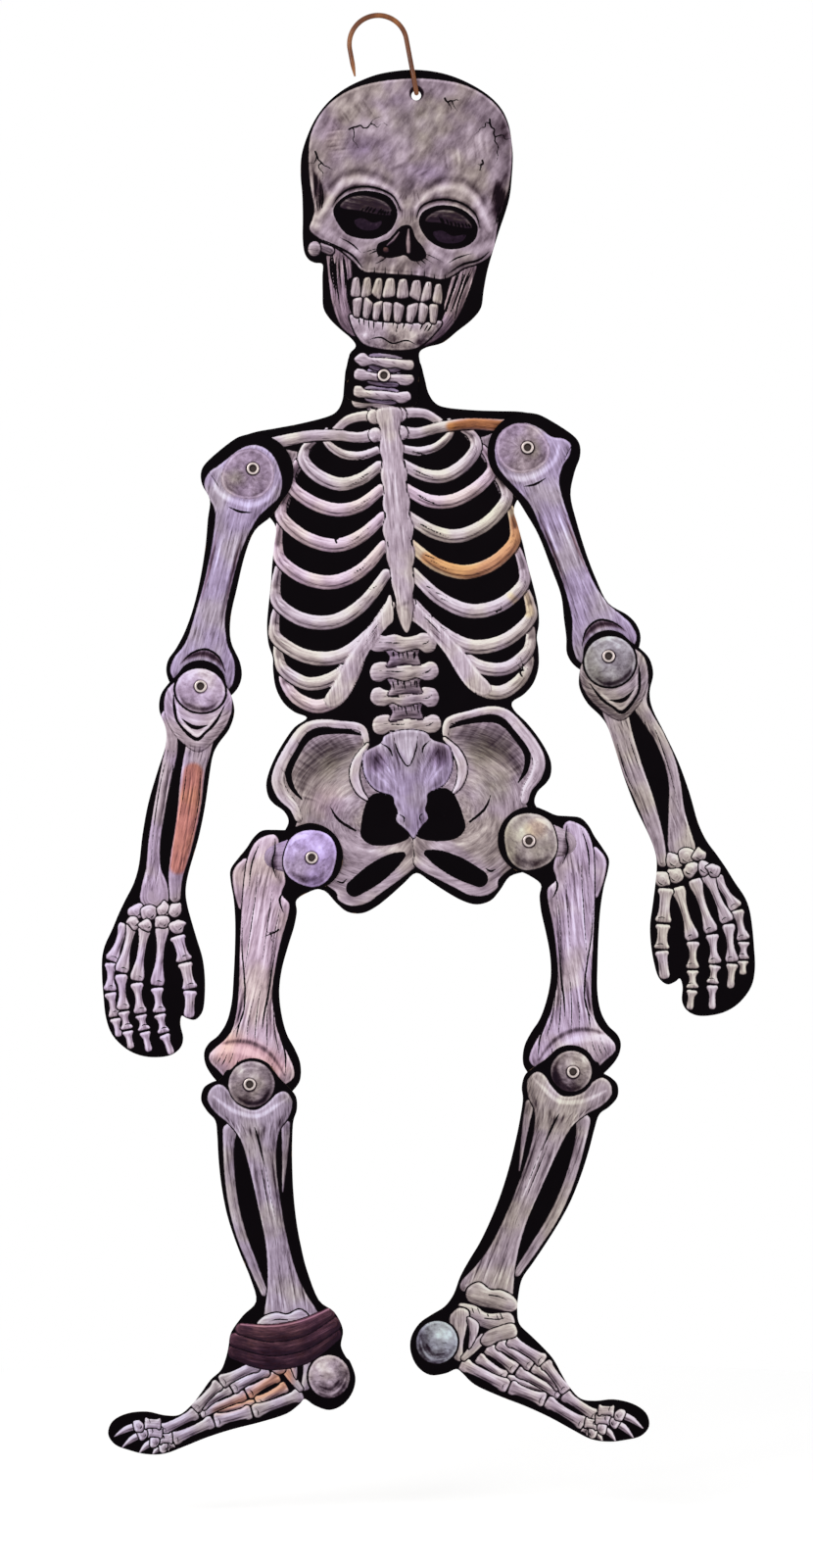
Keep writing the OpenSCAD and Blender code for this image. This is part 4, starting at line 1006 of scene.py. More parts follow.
RIGHT_SOCKET = [
    (13, 120.5), (16, 128.5), (26.5, 134), (40, 134.5), (51, 130), (58, 122), (57.5, 111.5), (49, 104),
    (36, 101.5), (24, 105.5), (16.5, 112.5)]
NOSE = [
    (-0.5, 114.5), (7.2, 116), (12.4, 107), (18.5, 101), (22, 94.5), (17.5, 90), (11, 89.5), (5.6, 93),
    (1, 91.5), (-7, 89.5), (-15.5, 91.5), (-16, 99.5), (-8, 104.5)]
BROWS = (
    [(-64, 115, 3), (-56, 131, 3.6), (-51, 141, 3.6), (-39, 146.5, 3.6), (-24, 145.5, 3.4), (-10, 140, 3),
     (-1, 130, 2.4)],
    [(9.5, 131, 2.4), (17, 141, 3), (28.5, 148, 3.4), (42, 149, 3.6), (54, 142.5, 3.6), (61, 133, 3.4),
     (68, 121, 3)])
UNDER_BROWS = (
    [(-54, 124, 0.4), (-50, 132, 1.4), (-41, 139.5, 1.8), (-25, 142, 1.8), (-9.5, 137.5, 1.6),
     (-2, 127, 0.8)],
    [(11, 122, 0.6), (14, 132, 1.5), (27, 138.5, 1.8), (43, 138, 1.8), (55, 131, 1.5), (60, 121, 0.5)])
UPPER_TEETH = (
    (-29, 64, 4.0), (-20.6, 65, 4.1), (-12.4, 65.5, 4.0), (-3.2, 66.5, 4.9), (7, 67, 4.8), (17, 67.3, 4.7),
    (25.6, 67, 3.8), (34, 66.2, 3.8))
LOWER_TEETH = (
    (-26.3, 49.5, 3.8), (-18.3, 49.2, 3.8), (-10.8, 48.6, 3.6), (-3, 48.8, 3.7), (5.6, 49, 4.3),
    (15.6, 50, 4.3), (24.4, 50.6, 4.0), (32.4, 51.4, 3.6))
# What varies over the skull: washes of tint, and soft light and shade, by place and size; brush marks by
# seed, rail and reach; cracks by start, heading, length and seed; dark temples and pale cheek bones
SKULL_TINTS = (
    (-36, 194, 26, 14, CREAM), (50, 176, 20, 28, CREAM), (4, 196, 28, 22, OLIVE),
    (-34, 170, 26, 12, VIOLET), (-60, 176, 12, 26, PINK), (16, 158, 24, 10, VIOLET),
    (-20, 208, 30, 8, VIOLET), (-8, 168, 8, 8, CREAM))
SKULL_SHADES = (
    (-30, 194, 30, 14, 0.1), (52, 180, 12, 20, 0.1), (-8, 172, 14, 12, 0.06), (-50, 207, 18, 6, -0.14),
    (66, 194, 8, 18, -0.18), (2, 146, 10, 10, -0.14))
SKULL_MARKS = (
    (25, [(-70, 180), (-60, 160)], (24, 6)), (26, [(30, 160), (62, 176)], (-6, 26)),
    (27, [(-30, 160), (20, 152)], (14, 10)), (28, [(-66, 190), (-40, 210)], (12, -14)))
SKULL_CRACKS = (
    ((-48, 184), 6, 34, 21), ((58, 204), -72, 40, 33), ((22, 216), -24, 16, 12), ((-72, 164), -82, 26, 40),
    ((56, 172), -100, 10, 17))
TEMPLES = (
    [(-73, 152), (-67, 147), (-58, 133), (-61, 122), (-65, 119), (-70, 136)],
    [(68, 160), (78, 151), (78, 140), (75, 127), (71, 124), (66, 138)])
CHEEKS = (
    [(-66, 108, 5), (-55, 102, 6), (-44, 97, 5), (-30, 90, 4)],
    [(70, 109, 5), (61, 103, 6), (49, 97, 5), (37, 90, 4)],
    [(-34, 92, 3), (-22, 98, 4), (-14, 106, 3)],
    [(40, 92, 3), (28, 98, 4), (21, 105, 3)])
# What shows inside each eye socket: its back wall under the brow, and a faint cloud below
SOCKET_WALLS = {
    LEFT: [(-48, 124), (-42, 132), (-28, 135), (-13, 131), (-8, 123), (-20, 122), (-32, 123)],
    RIGHT: [(18, 121), (23, 128), (34, 131.5), (47, 128), (54, 120), (42, 119.5), (30, 121)]}
SOCKET_CLOUDS = {
    LEFT: [(-36, 115), (-30, 117.5), (-22, 115), (-15, 117), (-18, 111), (-26, 108.5), (-33, 110.5)],
    RIGHT: [(25, 113), (32, 115), (40, 112), (50, 114), (47, 108.5), (37, 106), (29, 107.5)]}


def draw_teeth(sheet):
    """Two rows of worn teeth on the dark of the mouth, each with its root side narrow."""
    for k, (x, y, width) in enumerate(UPPER_TEETH + LOWER_TEETH):
        half = 0.94 * width
        up = 1 if k < len(UPPER_TEETH) else -1
        worn = 1.3 * math.sin(2.3 * k)
        tooth = [(x - half * 0.5, y + up * 7.4), (x + half * 0.4, y + up * 7.8),
                 (x + half * 0.75, y + up * 4), (x + half * 0.95, y - up * 1),
                 (x + half, y - up * (5 - worn)), (x + half * 0.7, y - up * (6.8 - worn)),
                 (x - half * 0.6, y - up * (7 + worn)), (x - half * 1.02, y - up * (5 + worn)),
                 (x - half * 0.9, y + up * 1), (x - half * 0.8, y + up * 4.6)]
        tooth = turned(tooth, 5 * math.sin(1.7 * k + 1), (x, y))
        sheet.plate(tooth, 0.66, 3, 0.34, 0.34, tint=CREAM, gap=0.9)
        sheet.lines_of_ink([(x + half * 0.1, y + up * 7, 0.3), (x + half * 0.2, y + up * 2, 0.1)])
        sheet.wipe([(x + half * 0.5, y + up * 5, 0.4), (x + half * 0.6, y - up * 4, 0.6)], -0.24, 0.6)


def draw_jaw(sheet):
    left = [(-46, 91, 9), (-42, 72, 9), (-39, 54, 7.4), (-33, 38, 5.8), (-26, 31, 4)]
    right = [(53, 90, 8), (49.5, 72, 7.6), (45, 54, 6.8), (37, 40, 6.2), (28, 30, 4)]
    for k, (ramus, lean_x) in enumerate(((left, 9), (right, -10))):
        sheet.rod(ramus, 0.5, 7, 0.26, tint=PINK, gap=1.2)
        top = [(ramus[0][0] - 6, 88), (ramus[0][0] + 6, 88)]
        sheet.dashes(top, (lean_x, -46), 6, 31 + k, 0.9)
        sheet.dashes(top, (lean_x, -48), 6, 41 + k, 1.0, 0.3)
    sheet.plate(CHIN, 0.66, 7, 0.26, gap=1.2, weave=CLOUDED, hatch=0.6, heading=80)
    sheet.dabs((4, 30), (24, 8), 6, 14, 51, 0.22)
    sheet.dashes([(-26, 41), (34, 43)], (3, -9), 12, 52, 0.55, fan=(-5, -9))
    sheet.lines_of_ink([(-16, 25, 0.1), (-6, 28.5, 0.7), (4, 25, 0.6), (14, 28.5, 0.6), (22, 26, 0.1)])


def draw_cranium(sheet):
    """The brain case, clouded with tints, with its dark temples."""
    sheet.rod([(-59, 92, 3), (-52, 90, 3.4)], 0.42, 3, 0.3)
    sheet.bone(sheet.disc((-64, 90), 4.8, 5.8), 0.56, 5, 0.3)
    sheet.plate(CRANIUM, 0.53, 14, 0.18, 0.16, gap=1.3, weave=(1.2, 0.3), hatch=0.14, heading=65)
    for x, y, wide, high, tint in SKULL_TINTS:
        sheet.glaze(sheet.disc((x, y), wide, high), tint, 0.6, 12)
    sheet.dabs((0, 188), (66, 34), 12, 40, 22, 0.05)
    sheet.dabs((0, 188), (66, 34), 5, 40, 23, 0.04)
    for seed, rail, reach in SKULL_MARKS:
        sheet.dashes(rail, reach, 7, seed, 1.8, 0.09)
        sheet.dashes(rail, reach, 6, seed + 100, 1.6, -0.1)
    for x, y, wide, high, amount in SKULL_SHADES:
        sheet.shade(sheet.disc((x, y), wide, high, -20), amount, 6)
    for k, temple in enumerate(TEMPLES):
        sheet.shade(sheet.patch(temple), -0.5, 7)
        sheet.dashes(temple[:2], (4 - 8 * k, -28), 6, 61 + k, 1.3, -0.36)
        sheet.dashes(temple[3:5], (-3 + 5 * k, 20), 4, 64 + k, 0.5)


def draw_eyes(sheet):
    """Brows, cheeks, and the dark sockets with a glimpse of their back walls."""
    for brow, below in zip(BROWS, UNDER_BROWS):
        sheet.wipe([(x, y + 7, half + 0.6) for x, y, half in brow[1:-1]], -0.2, 4)
        sheet.wipe([(x, y, half + 0.8) for x, y, half in brow], 0.28, 3.6)
        sheet.wipe([(x, y, half + 1.4) for x, y, half in below], -0.3, 2.2)
        sheet.lines_of_ink([(x, y, half * 0.5) for x, y, half in below])
    for cheek in CHEEKS:
        sheet.wipe(cheek, 0.2, 4)
    for socket in (LEFT_SOCKET, RIGHT_SOCKET):
        rim = smooth(np.vstack([socket, socket[:1]]), steps=3)
        sheet.wipe(np.column_stack([rim, np.full(len(rim), 3.0)]), 0.12, 2.4)
        sheet.hole(sheet.patch(socket))
    for side, wall in SOCKET_WALLS.items():
        sheet.plate(wall, 0.22, 9, 0.12, 0.2, tint=OLIVE, gap=0, weave=(1.0, 0.6), heading=8 * side)
        sheet.dabs((wall[2][0], 127), (14, 4), 4, 10, 66 + side, 0.16)
        sheet.dashes(wall[:-4:-1], (-side * 3, 5), 9, 66 + side, 0.9)
        sheet.plate(SOCKET_CLOUDS[side], 0.06, 6, 0.05, 0.06, tint=BLUE, gap=0, weave=CLOUDED, edge=0)


def draw_nose(sheet):
    sheet.dashes([(-15, 97), (-6, 91)], (-16, -6), 4, 67, 0.5, fan=(-10, -9))
    sheet.dashes([(20, 97), (12, 91)], (17, -5), 4, 68, 0.5, fan=(10, -9))
    sheet.hole(sheet.patch(NOSE))
    sheet.bone(sheet.disc((-9.5, 95.5), 2.4, 2.0), 0.3, 3, tint=UMBER, gap=0)
    sheet.rod([(6, 113, 0.6), (6.8, 104, 1.6), (8, 96, 1.4)], 0.42, 3, tint=PINK, gap=0)
    sheet.rod([(-9, 99, 0.5), (-4.5, 104, 1.0), (-1, 110, 0.5)], 0.36, 3, tint=PINK, gap=0)
    sheet.dashes([(-2, 128), (9, 129)], (1, -13), 4, 69, 0.8, -0.26)
    sheet.dashes([(-6, 134), (14, 135)], (5, 10), 4, 71, 0.8, -0.26, fan=(-5, 10))


def draw_mouth(sheet):
    """The upper jaw with the roots of its teeth, the folds of the cheeks, and the open mouth."""
    jaw = [(-32, 76), (0, 77), (38, 78), (32, 88), (14, 88), (-10, 88), (-26, 87)]
    sheet.shade(sheet.patch(jaw), 0.16, 5)
    for k, (x, y, width) in enumerate(UPPER_TEETH):
        root = [(x, y + 8, width * 0.5), (x + 0.3, y + 14, width * 0.45), (x + 0.6, y + 21, 0.6)]
        sheet.wipe(root, 0.2, 2)
        sheet.lines_of_ink([(x + width, y + 8, 0.7), (x + width + 0.4, y + 12, 0.5),
                            (x + width * 0.9, y + 15 + 2 * (k % 3), 0.1)])
    sheet.lines_of_ink([(-58, 97.5, 0.3), (-45, 93, 0.9), (-34, 88, 0.9), (-26, 80, 0.3)],
                       [(70, 104, 0.2), (62, 96, 0.9), (50, 91, 0.9), (40, 83, 0.3)],
                       [(-46, 101, 0.1), (-36, 97, 0.7), (-28, 91, 0.1)],
                       [(58, 101, 0.1), (46, 96, 0.7), (38, 90, 0.1)])
    sheet.hole(sheet.patch(MOUTH))
    draw_teeth(sheet)


def draw_skull(sheet):
    draw_neck(sheet, (-15, -1.5, 10))
    draw_jaw(sheet)
    draw_cranium(sheet)
    draw_eyes(sheet)
    draw_nose(sheet)
    draw_mouth(sheet)
    for start, heading, length, seed in SKULL_CRACKS:
        sheet.crack(start, heading, length, seed)


def shadow_ring(sheet, spot=(0, -0.3)):
    """A painted shadow: the dark ring round an eyelet's flange, or round the hook's wire at the crown hole.
    """
    sheet.shade(sheet.disc(spot, 6.0), -0.6, 1.2)


def pivot(joint):
    """Where a joint's eyelet is, in mm across and up."""
    place = next(j["pos_m"] for j in frame["joints"] if j["name"] == joint)
    return np.array((place[0], place[2])) / MM


def lean(upper, lower):
    """Degrees from straight down, positive to the right, of the line between two joints."""
    across, up = pivot(lower) - pivot(upper)
    return math.degrees(math.atan2(across, -up))


Looks = namedtuple("Looks", "forearm elbow thigh thigh_tone hip_tone hip thigh_neck shin knee_r heel")
LOOKS = {LEFT: Looks(MAUVE, MAUVE, PINK, 0.77, 0.68, BRIGHT_VIOLET, VIOLET, ASH, 17.6, PLAIN),
         RIGHT: Looks(GREY, SLATE, MAUVE, 0.73, 0.64, OLIVE, PLAIN, GREY, 15.6, TEAL)}


def painted_limbs(side, name):
    """The four printed sheets of one side, as (body, sheet) pairs."""
    looks = LOOKS[side]
    shoulder, elbow, hip, knee = (f"{name}_{joint}" for joint in ("shoulder", "elbow", "hip", "knee"))
    upper = Sheet(f"{name}_upper_arm_print", pivot(shoulder), lean(shoulder, elbow), side, tint=BLUE)
    draw_upper_arm(upper)
    forearm = Sheet(f"{name}_forearm_print", pivot(elbow), FOREARM_LEAN[side], side, tint=looks.forearm)
    draw_forearm(forearm, looks.elbow)
    thigh = Sheet(f"{name}_thigh_print", pivot(hip), lean(hip, knee), side, tint=looks.thigh)
    draw_thigh(thigh, looks.thigh_tone, looks.hip_tone, looks.hip, looks.thigh_neck)
    shin = Sheet(f"{name}_shin_print", pivot(knee), SHIN_LEAN[side], side, pitch=0.52, tint=looks.shin)
    draw_shin(shin, looks.knee_r, GREY, looks.heel)
    if side == LEFT:
        draw_ankle_wrap(shin)
        forearm.glaze(forearm.stroke([(8, -66, 9), (10.5, -100, 10), (11, -138, 8)]), CORAL, 0.95, 3)
        thigh.glaze(thigh.patch([(-30, -142), (10, -146), (30, -160), (10, -180), (-34, -172)]),
                    CORAL, 0.4, 10)
        thigh.crack((-10, -60), -130, 14, 6, 2)
    parts = {"upper_arm": upper, "forearm": forearm, "thigh": thigh, "shin": shin}
    return [(f"{name}_{part}", sheet) for part, sheet in parts.items()]


def painted_sheets():
    """Every printed sheet with its drawing, as (body, sheet) pairs."""
    head = Sheet("skull_print", pivot("neck_pivot"), lean("hook_swing", "neck_pivot"), pitch=0.6)
    draw_skull(head)
    across, up = pivot("right_shoulder") - pivot("left_shoulder")
    torso = Sheet("torso_print", pivot("neck_pivot"), math.degrees(math.atan2(up, across)), pitch=0.95)
    draw_torso(torso)
    made = [("head", head), ("torso", torso)] + painted_limbs(LEFT, "left") + painted_limbs(RIGHT, "right")
    # Painted shadow rings round each sheet's eyelet and round the skull's crown hole
    for body, sheet in made:
        if body != "torso":
            shadow_ring(sheet)
    shadow_ring(head, turned([pivot("hook_swing") - head.pivot], -head.lean)[0])
    return made


def select_only(piece):
    bpy.ops.object.select_all(action="DESELECT")
    piece.select_set(True)
    bpy.context.view_layer.objects.active = piece


def edit_open_edge():
    """Opens the active mesh for editing, with its open edge selected."""
    bpy.ops.object.mode_set(mode="EDIT")
    bpy.ops.mesh.select_mode(type="EDGE")
    bpy.ops.mesh.select_all(action="DESELECT")
    bpy.ops.mesh.select_non_manifold(extend=False, use_wire=False, use_multi_face=False,
                                     use_non_contiguous=False, use_verts=False)


def face_outwards():
    """Turns every face of the mesh outwards and ends its editing."""
    bpy.ops.mesh.select_all(action="SELECT")
    bpy.ops.mesh.normals_make_consistent(inside=False)
    bpy.ops.object.mode_set(mode="OBJECT")


def enclosed(lines, points):
    """Which points lie inside the cut lines, and not in one of the holes."""
    inside = np.zeros(len(points), bool)
    for line in lines:
        for (ax, ay), (bx, by) in zip(line, np.roll(line, -1, 0)):
            if ay != by:
                crossed = (ay > points[:, 1]) != (by > points[:, 1])
                inside ^= crossed & (points[:, 0] < ax + (bx - ax) * (points[:, 1] - ay) / (by - ay))
    return inside


def net_inside(sheet):
    """A fine triangle net inside the sheet's cut lines, and how far each of its points is from a cut."""
    x, y = np.meshgrid(sheet.xs, sheet.ys)
    inside = np.zeros(x.shape, bool)
    edge = np.full(x.shape, WEAR_REACH)
    for line in sheet.lines:
        for (ax, ay), (bx, by) in zip(line, np.roll(line, -1, 0)):
            dx, dy = bx - ax, by - ay
            rows = slice(*np.searchsorted(sheet.ys, sorted((ay, by))))
            if dy:
                inside[rows] ^= x[rows] < ax + dx * (y[rows] - ay) / dy
            near, u, v = sheet.window(np.array([(ax, ay), (bx, by)]), WEAR_REACH)
            part = np.clip(((u - ax) * dx + (v - ay) * dy) / (dx * dx + dy * dy + TINY), 0, 1)
            edge[near] = np.minimum(edge[near], np.hypot(u - ax - part * dx, v - ay - part * dy))
    kept = inside & (edge > NET_CLEAR * sheet.pitch)
    spots = np.vstack(sheet.lines + [np.column_stack([x[kept], y[kept]])])
    sides, first = [], 0
    for line in sheet.lines:
        count = len(line)
        sides += [(first + i, first + (i + 1) % count) for i in range(count)]
        first += count
    on_cut = np.arange(len(spots)) < first
    _, _, faces, source, _, _ = delaunay_2d_cdt(spots.tolist(), sides, [], 1, NET_WELD, True)
    order = np.array([s[0] for s in source])
    faces = np.array(faces)
    spots = spots[order]
    kept_faces = np.ones(len(faces), bool)
    doubtful = on_cut[order][faces].all(1)
    kept_faces[doubtful] = enclosed(sheet.lines, spots[faces[doubtful]].mean(1))
    wear = np.concatenate([np.zeros(first), edge[kept]])
    return spots, faces[kept_faces], wear[order]


def map_flat(sheet, mesh, front, back):
    """Lays the sheet out flat for its print: the face in the middle, the cut edges just outside it."""
    place = values_of(mesh.vertices, "co", width=3)
    flat = sheet.flipped(turned(place[:, (0, 2)] / MM - sheet.pivot, -sheet.lean))
    behind = place[:, 1] > (front + back) / 2
    low, size = flat.min(0), np.ptp(flat, 0).max()
    spread = FACE_MARGIN + FACE_SIZE * (flat - low) / size
    corners = values_of(mesh.loops, "vertex_index", int)
    starts = values_of(mesh.polygons, "loop_start", int)
    facing = values_of(mesh.polygons, "normal", width=3)[:, 1]
    facing = np.repeat(facing, np.diff(np.append(starts, len(corners))))
    layer = mesh.uv_layers.new(name="OFBake")
    chart = spread[corners]
    wall = (np.abs(facing) < 0.5) & behind[corners]
    chart[wall] += (flat[corners][wall] - flat.mean(0)) * EDGE_SPREAD / size
    chart[facing > 0.5] = BACK_PLACE + BACK_SIZE * chart[facing > 0.5]
    layer.data.foreach_set("uv", chart.ravel())


def printed_sheet(sheet, body, finish):
    """The sheet as a piece: its printed net in front, cut edges, and a plain back against the board."""
    spots, faces, wear = net_inside(sheet)
    low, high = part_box(sheet.node)
    place = sheet.figure(spots) * MM
    mesh = bpy.data.meshes.new(body + "_printed_sheet")
    mesh.from_pydata(np.column_stack([place[:, 0], np.full(len(place), low.y), place[:, 1]]).tolist(), [],
                     faces.tolist())
    tint = sheet.sample(sheet.tint, spots)
    fields = (("ink", "FLOAT", "value", sheet.sample(sheet.ink, spots)),
              ("tone", "FLOAT", "value", sheet.sample(sheet.tone, spots)),
              ("wear", "FLOAT", "value", wear),
              ("tint", "FLOAT_COLOR", "color", np.column_stack([tint, np.ones(len(tint))])),
              ("grain", "FLOAT_VECTOR", "vector", sheet.sample(sheet.grain, spots)))
    for label, kind, slot, values in fields:
        mesh.attributes.new(label, kind, "POINT").data.foreach_set(slot, values.ravel())
    piece = bpy.data.objects.new(body + "_printed_sheet", mesh)
    bpy.context.scene.collection.objects.link(piece)
    select_only(piece)
    edit_open_edge()
    bpy.ops.mesh.extrude_edges_move(TRANSFORM_OT_translate={"value": (0, high.y - low.y, 0)})
    bpy.ops.mesh.fill(use_beauty=False)
    face_outwards()
    map_flat(sheet, mesh, low.y, high.y)
    mesh.materials.append(finish)
    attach(piece, body)
    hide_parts(sheet.node)


def srgb(red, green, blue):
    """A colour given in 0 to 255, as Blender's linear values."""
    return tuple(((c / 255 + 0.055) / 1.055) ** 2.4 if c > 10 else c / 3295
                 for c in (red, green, blue)) + (1.0,)


class Wiring:
    """Shorthand for the nodes of one material or group."""

    def __init__(self, tree):
        self.tree = tree
        tree.nodes.clear()

    def plug(self, node, inputs):
        """Links or sets each of the given inputs of a node."""
        for key, value in inputs.items():
            if isinstance(value, bpy.types.NodeSocket):
                self.tree.links.new(value, node.inputs[key])
            else:
                node.inputs[key].default_value = value

    def add(self, kind, inputs=None, **settings):
        node = self.tree.nodes.new(kind)
        for key, value in settings.items():
            setattr(node, key, value)
        self.plug(node, inputs or {})
        return node

    def math(self, operation, a, b=0.0):
        return self.add("ShaderNodeMath", {0: a, 1: b}, operation=operation).outputs[0]

    def swing(self, value, middle, gain):
        """How far a value is from its middle, times a gain."""
        return self.math("MULTIPLY", self.math("SUBTRACT", value, middle), gain)

    def scaled(self, vector, x, y, z):
        return self.add("ShaderNodeVectorMath", {0: vector, 1: (x, y, z)}, operation="MULTIPLY").outputs[0]

    def noise(self, vector, scale, detail=2.0, roughness=0.5):
        inputs = {"Vector": vector, "Scale": scale, "Detail": detail, "Roughness": roughness}
        return self.add("ShaderNodeTexNoise", inputs).outputs[0]

    def step(self, value, low, high, out_low=0.0, out_high=1.0):
        inputs = {"Value": value, "From Min": low, "From Max": high, "To Min": out_low, "To Max": out_high}
        return self.add("ShaderNodeMapRange", inputs, interpolation_type="SMOOTHSTEP").outputs[0]

    def mix(self, share, a, b, blend="MIX"):
        node = self.add("ShaderNodeMix", {0: share, 6: a, 7: b}, data_type="RGBA", blend_type=blend)
        return node.outputs[2]

    def bump(self, height, strength, distance):
        inputs = {"Strength": strength, "Distance": distance, "Height": height}
        return self.add("ShaderNodeBump", inputs).outputs[0]

    def ramp(self, value, *stops):
        node = self.add("ShaderNodeValToRGB", {0: value})
        band = node.color_ramp.elements
        while len(band) < len(stops):
            band.new(0.5)
        for element, (place, colour) in zip(band, stops):
            element.position = place
            element.color = colour
        return node.outputs[0]

    def attribute(self, label, output):
        return self.add("ShaderNodeAttribute", attribute_name=label).outputs[output]

    def place(self):
        return self.add("ShaderNodeTexCoord").outputs["Object"]

    def group(self, group, **inputs):
        inputs = {key.replace("_", " "): value for key, value in inputs.items()}
        return self.add("ShaderNodeGroup", inputs, node_tree=group).outputs


def new_group(name, inputs, outputs):
    """An empty node group with number inputs and the given outputs."""
    group = bpy.data.node_groups.new(name, "ShaderNodeTree")
    wires = Wiring(group)
    for label, value in inputs:
        group.interface.new_socket(label, in_out="INPUT",
                                   socket_type="NodeSocketFloat").default_value = value
    for label in outputs:
        group.interface.new_socket(label, in_out="OUTPUT", socket_type="NodeSocketFloat")
    return group, wires, wires.add("NodeGroupInput"), wires.add("NodeGroupOutput")


def paper_fibre_group():
    """Felted paper fibres: a height for the bump, and the darker flecks among them."""
    group, wires, given, result = new_group("Paper fibre", [("Fibres per metre", 900.0)],
                                            ("Height", "Fleck"))
    place = wires.place()
    scale = given.outputs["Fibres per metre"]
    wide = wires.noise(wires.scaled(place, 0.35, 1, 1), scale, 3.0, 0.6)
    tall = wires.noise(wires.scaled(place, 1, 1, 0.35), scale, 3.0, 0.6)
    felt = wires.math("MULTIPLY", wires.math("ADD", wide, tall), 0.5)
    wires.plug(result, {"Height": felt, "Fleck": wires.step(felt, 0.57, 0.66)})
    return group


def handling_group():
    """Gloss that handling has made uneven, between two roughness values."""
    group, wires, given, result = new_group("Handling marks", [("Smoothest", 0.3), ("Roughest", 0.6)],
                                            ("Roughness",))
    smear = wires.noise(wires.place(), 45.0, 4.0, 0.65)
    share = wires.step(smear, 0.3, 0.7)
    reach = wires.math("SUBTRACT", given.outputs["Roughest"], given.outputs["Smoothest"])
    value = wires.math("ADD", given.outputs["Smoothest"], wires.math("MULTIPLY", share, reach))
    wires.plug(result, {"Roughness": value})
    return group


def new_finish(name):
    """A material with an empty tree, and its shader."""
    finish = bpy.data.materials.new(name)
    finish.use_nodes = True
    wires = Wiring(finish.node_tree)
    shader = wires.add("ShaderNodeBsdfPrincipled")
    wires.add("ShaderNodeOutputMaterial", {0: shader.outputs[0]})
    return finish, wires, shader


def printed_paper(fibre, handling):
    """Dark ground and brushed bone, printed on coated paper, with worn cut edges."""
    finish, wires, shader = new_finish("printed paper")
    place = wires.place()
    ink = wires.attribute("ink", "Fac")
    tone = wires.attribute("tone", "Fac")
    tint = wires.attribute("tint", "Color")
    wear = wires.attribute("wear", "Fac")
    grain = wires.attribute("grain", "Vector")
    brush = wires.noise(wires.scaled(grain, 0.05, 0.5, 1), 1.0, 4.0, 0.65)
    hatch = wires.noise(wires.scaled(grain, 0.11, 1.6, 1), 1.0, 2.0, 0.5)
    mottle = wires.noise(place, 95.0, 4.0, 0.6)
    cloud = wires.noise(place, 28.0, 2.0, 0.5)
    speck = wires.noise(place, 1400.0, 2.0, 0.6)
    level = wires.math("ADD", tone, wires.swing(brush, 0.5, 0.85))
    level = wires.math("ADD", level, wires.swing(mottle, 0.5, 0.34))
    bone = wires.ramp(level, (0.0, srgb(20, 10, 16)), (0.2, srgb(62, 46, 54)), (0.4, srgb(120, 104, 111)),
                      (0.56, srgb(160, 143, 150)), (0.72, srgb(194, 177, 184)), (0.86, srgb(222, 208, 213)),
                      (1.0, srgb(246, 238, 240)))
    warm = wires.mix(wires.step(cloud, 0.42, 0.62), (0.98, 0.94, 1.05, 1), (1.02, 1.03, 0.93, 1))
    bone = wires.mix(1.0, wires.mix(1.0, bone, warm, "MULTIPLY"), tint, "MULTIPLY")
    need = wires.math("ADD", hatch, wires.swing(tone, 0.55, -0.42))
    hatched = wires.add("ShaderNodeSeparateXYZ", {0: grain}).outputs["Z"]
    need = wires.math("MULTIPLY", wires.step(need, 0.56, 0.64), wires.math("MULTIPLY", hatched, 0.62))
    bone = wires.mix(need, bone, srgb(42, 28, 44))
    wobble = wires.swing(wires.noise(place, 520.0, 3.0, 0.6), 0.5, 0.9)
    black = wires.step(wires.math("ADD", ink, wobble), -0.12, 0.12)
    ground = wires.mix(cloud, srgb(3, 1, 3), srgb(9, 4, 8))
    colour = wires.mix(black, bone, ground)
    frayed = wires.math("ADD", wear, wires.swing(mottle, 0.4, 5.0))
    frayed = wires.step(wires.math("ADD", frayed, wires.math("MULTIPLY", speck, 0.8)), 0.1, 0.5, 1.0, 0.0)
    colour = wires.mix(frayed, colour, srgb(120, 92, 70))
    fibres = wires.group(fibre, Fibres_per_metre=1100.0)
    raised = wires.math("ADD", fibres["Height"], wires.math("MULTIPLY", brush, 0.5))
    gloss = wires.group(handling, Smoothest=0.4, Roughest=0.62)["Roughness"]
    wires.plug(shader, {"Base Color": colour, "Roughness": gloss,
                        "Normal": wires.bump(raised, 0.12, 0.0003), "Specular IOR Level": 0.03})
    return finish


def grey_chipboard(fibre, handling):
    """Recycled board: grey-brown felt with dark and pale flecks."""
    finish, wires, shader = new_finish("grey chipboard")
    fibres = wires.group(fibre, Fibres_per_metre=420.0)
    fine = wires.group(fibre, Fibres_per_metre=1500.0)
    cloud = wires.noise(wires.place(), 14.0, 3.0, 0.6)
    colour = wires.mix(cloud, srgb(132, 112, 92), srgb(156, 138, 116))
    colour = wires.mix(wires.math("MULTIPLY", fibres["Fleck"], 0.5), colour, srgb(92, 72, 58))
    colour = wires.mix(wires.math("MULTIPLY", fine["Fleck"], 0.4), colour, srgb(188, 172, 150))
    gloss = wires.group(handling, Smoothest=0.75, Roughest=0.92)["Roughness"]
    wires.plug(shader, {"Base Color": colour, "Roughness": gloss,
                        "Normal": wires.bump(fine["Height"], 0.35, 0.0004), "Specular IOR Level": 0.2})
    return finish


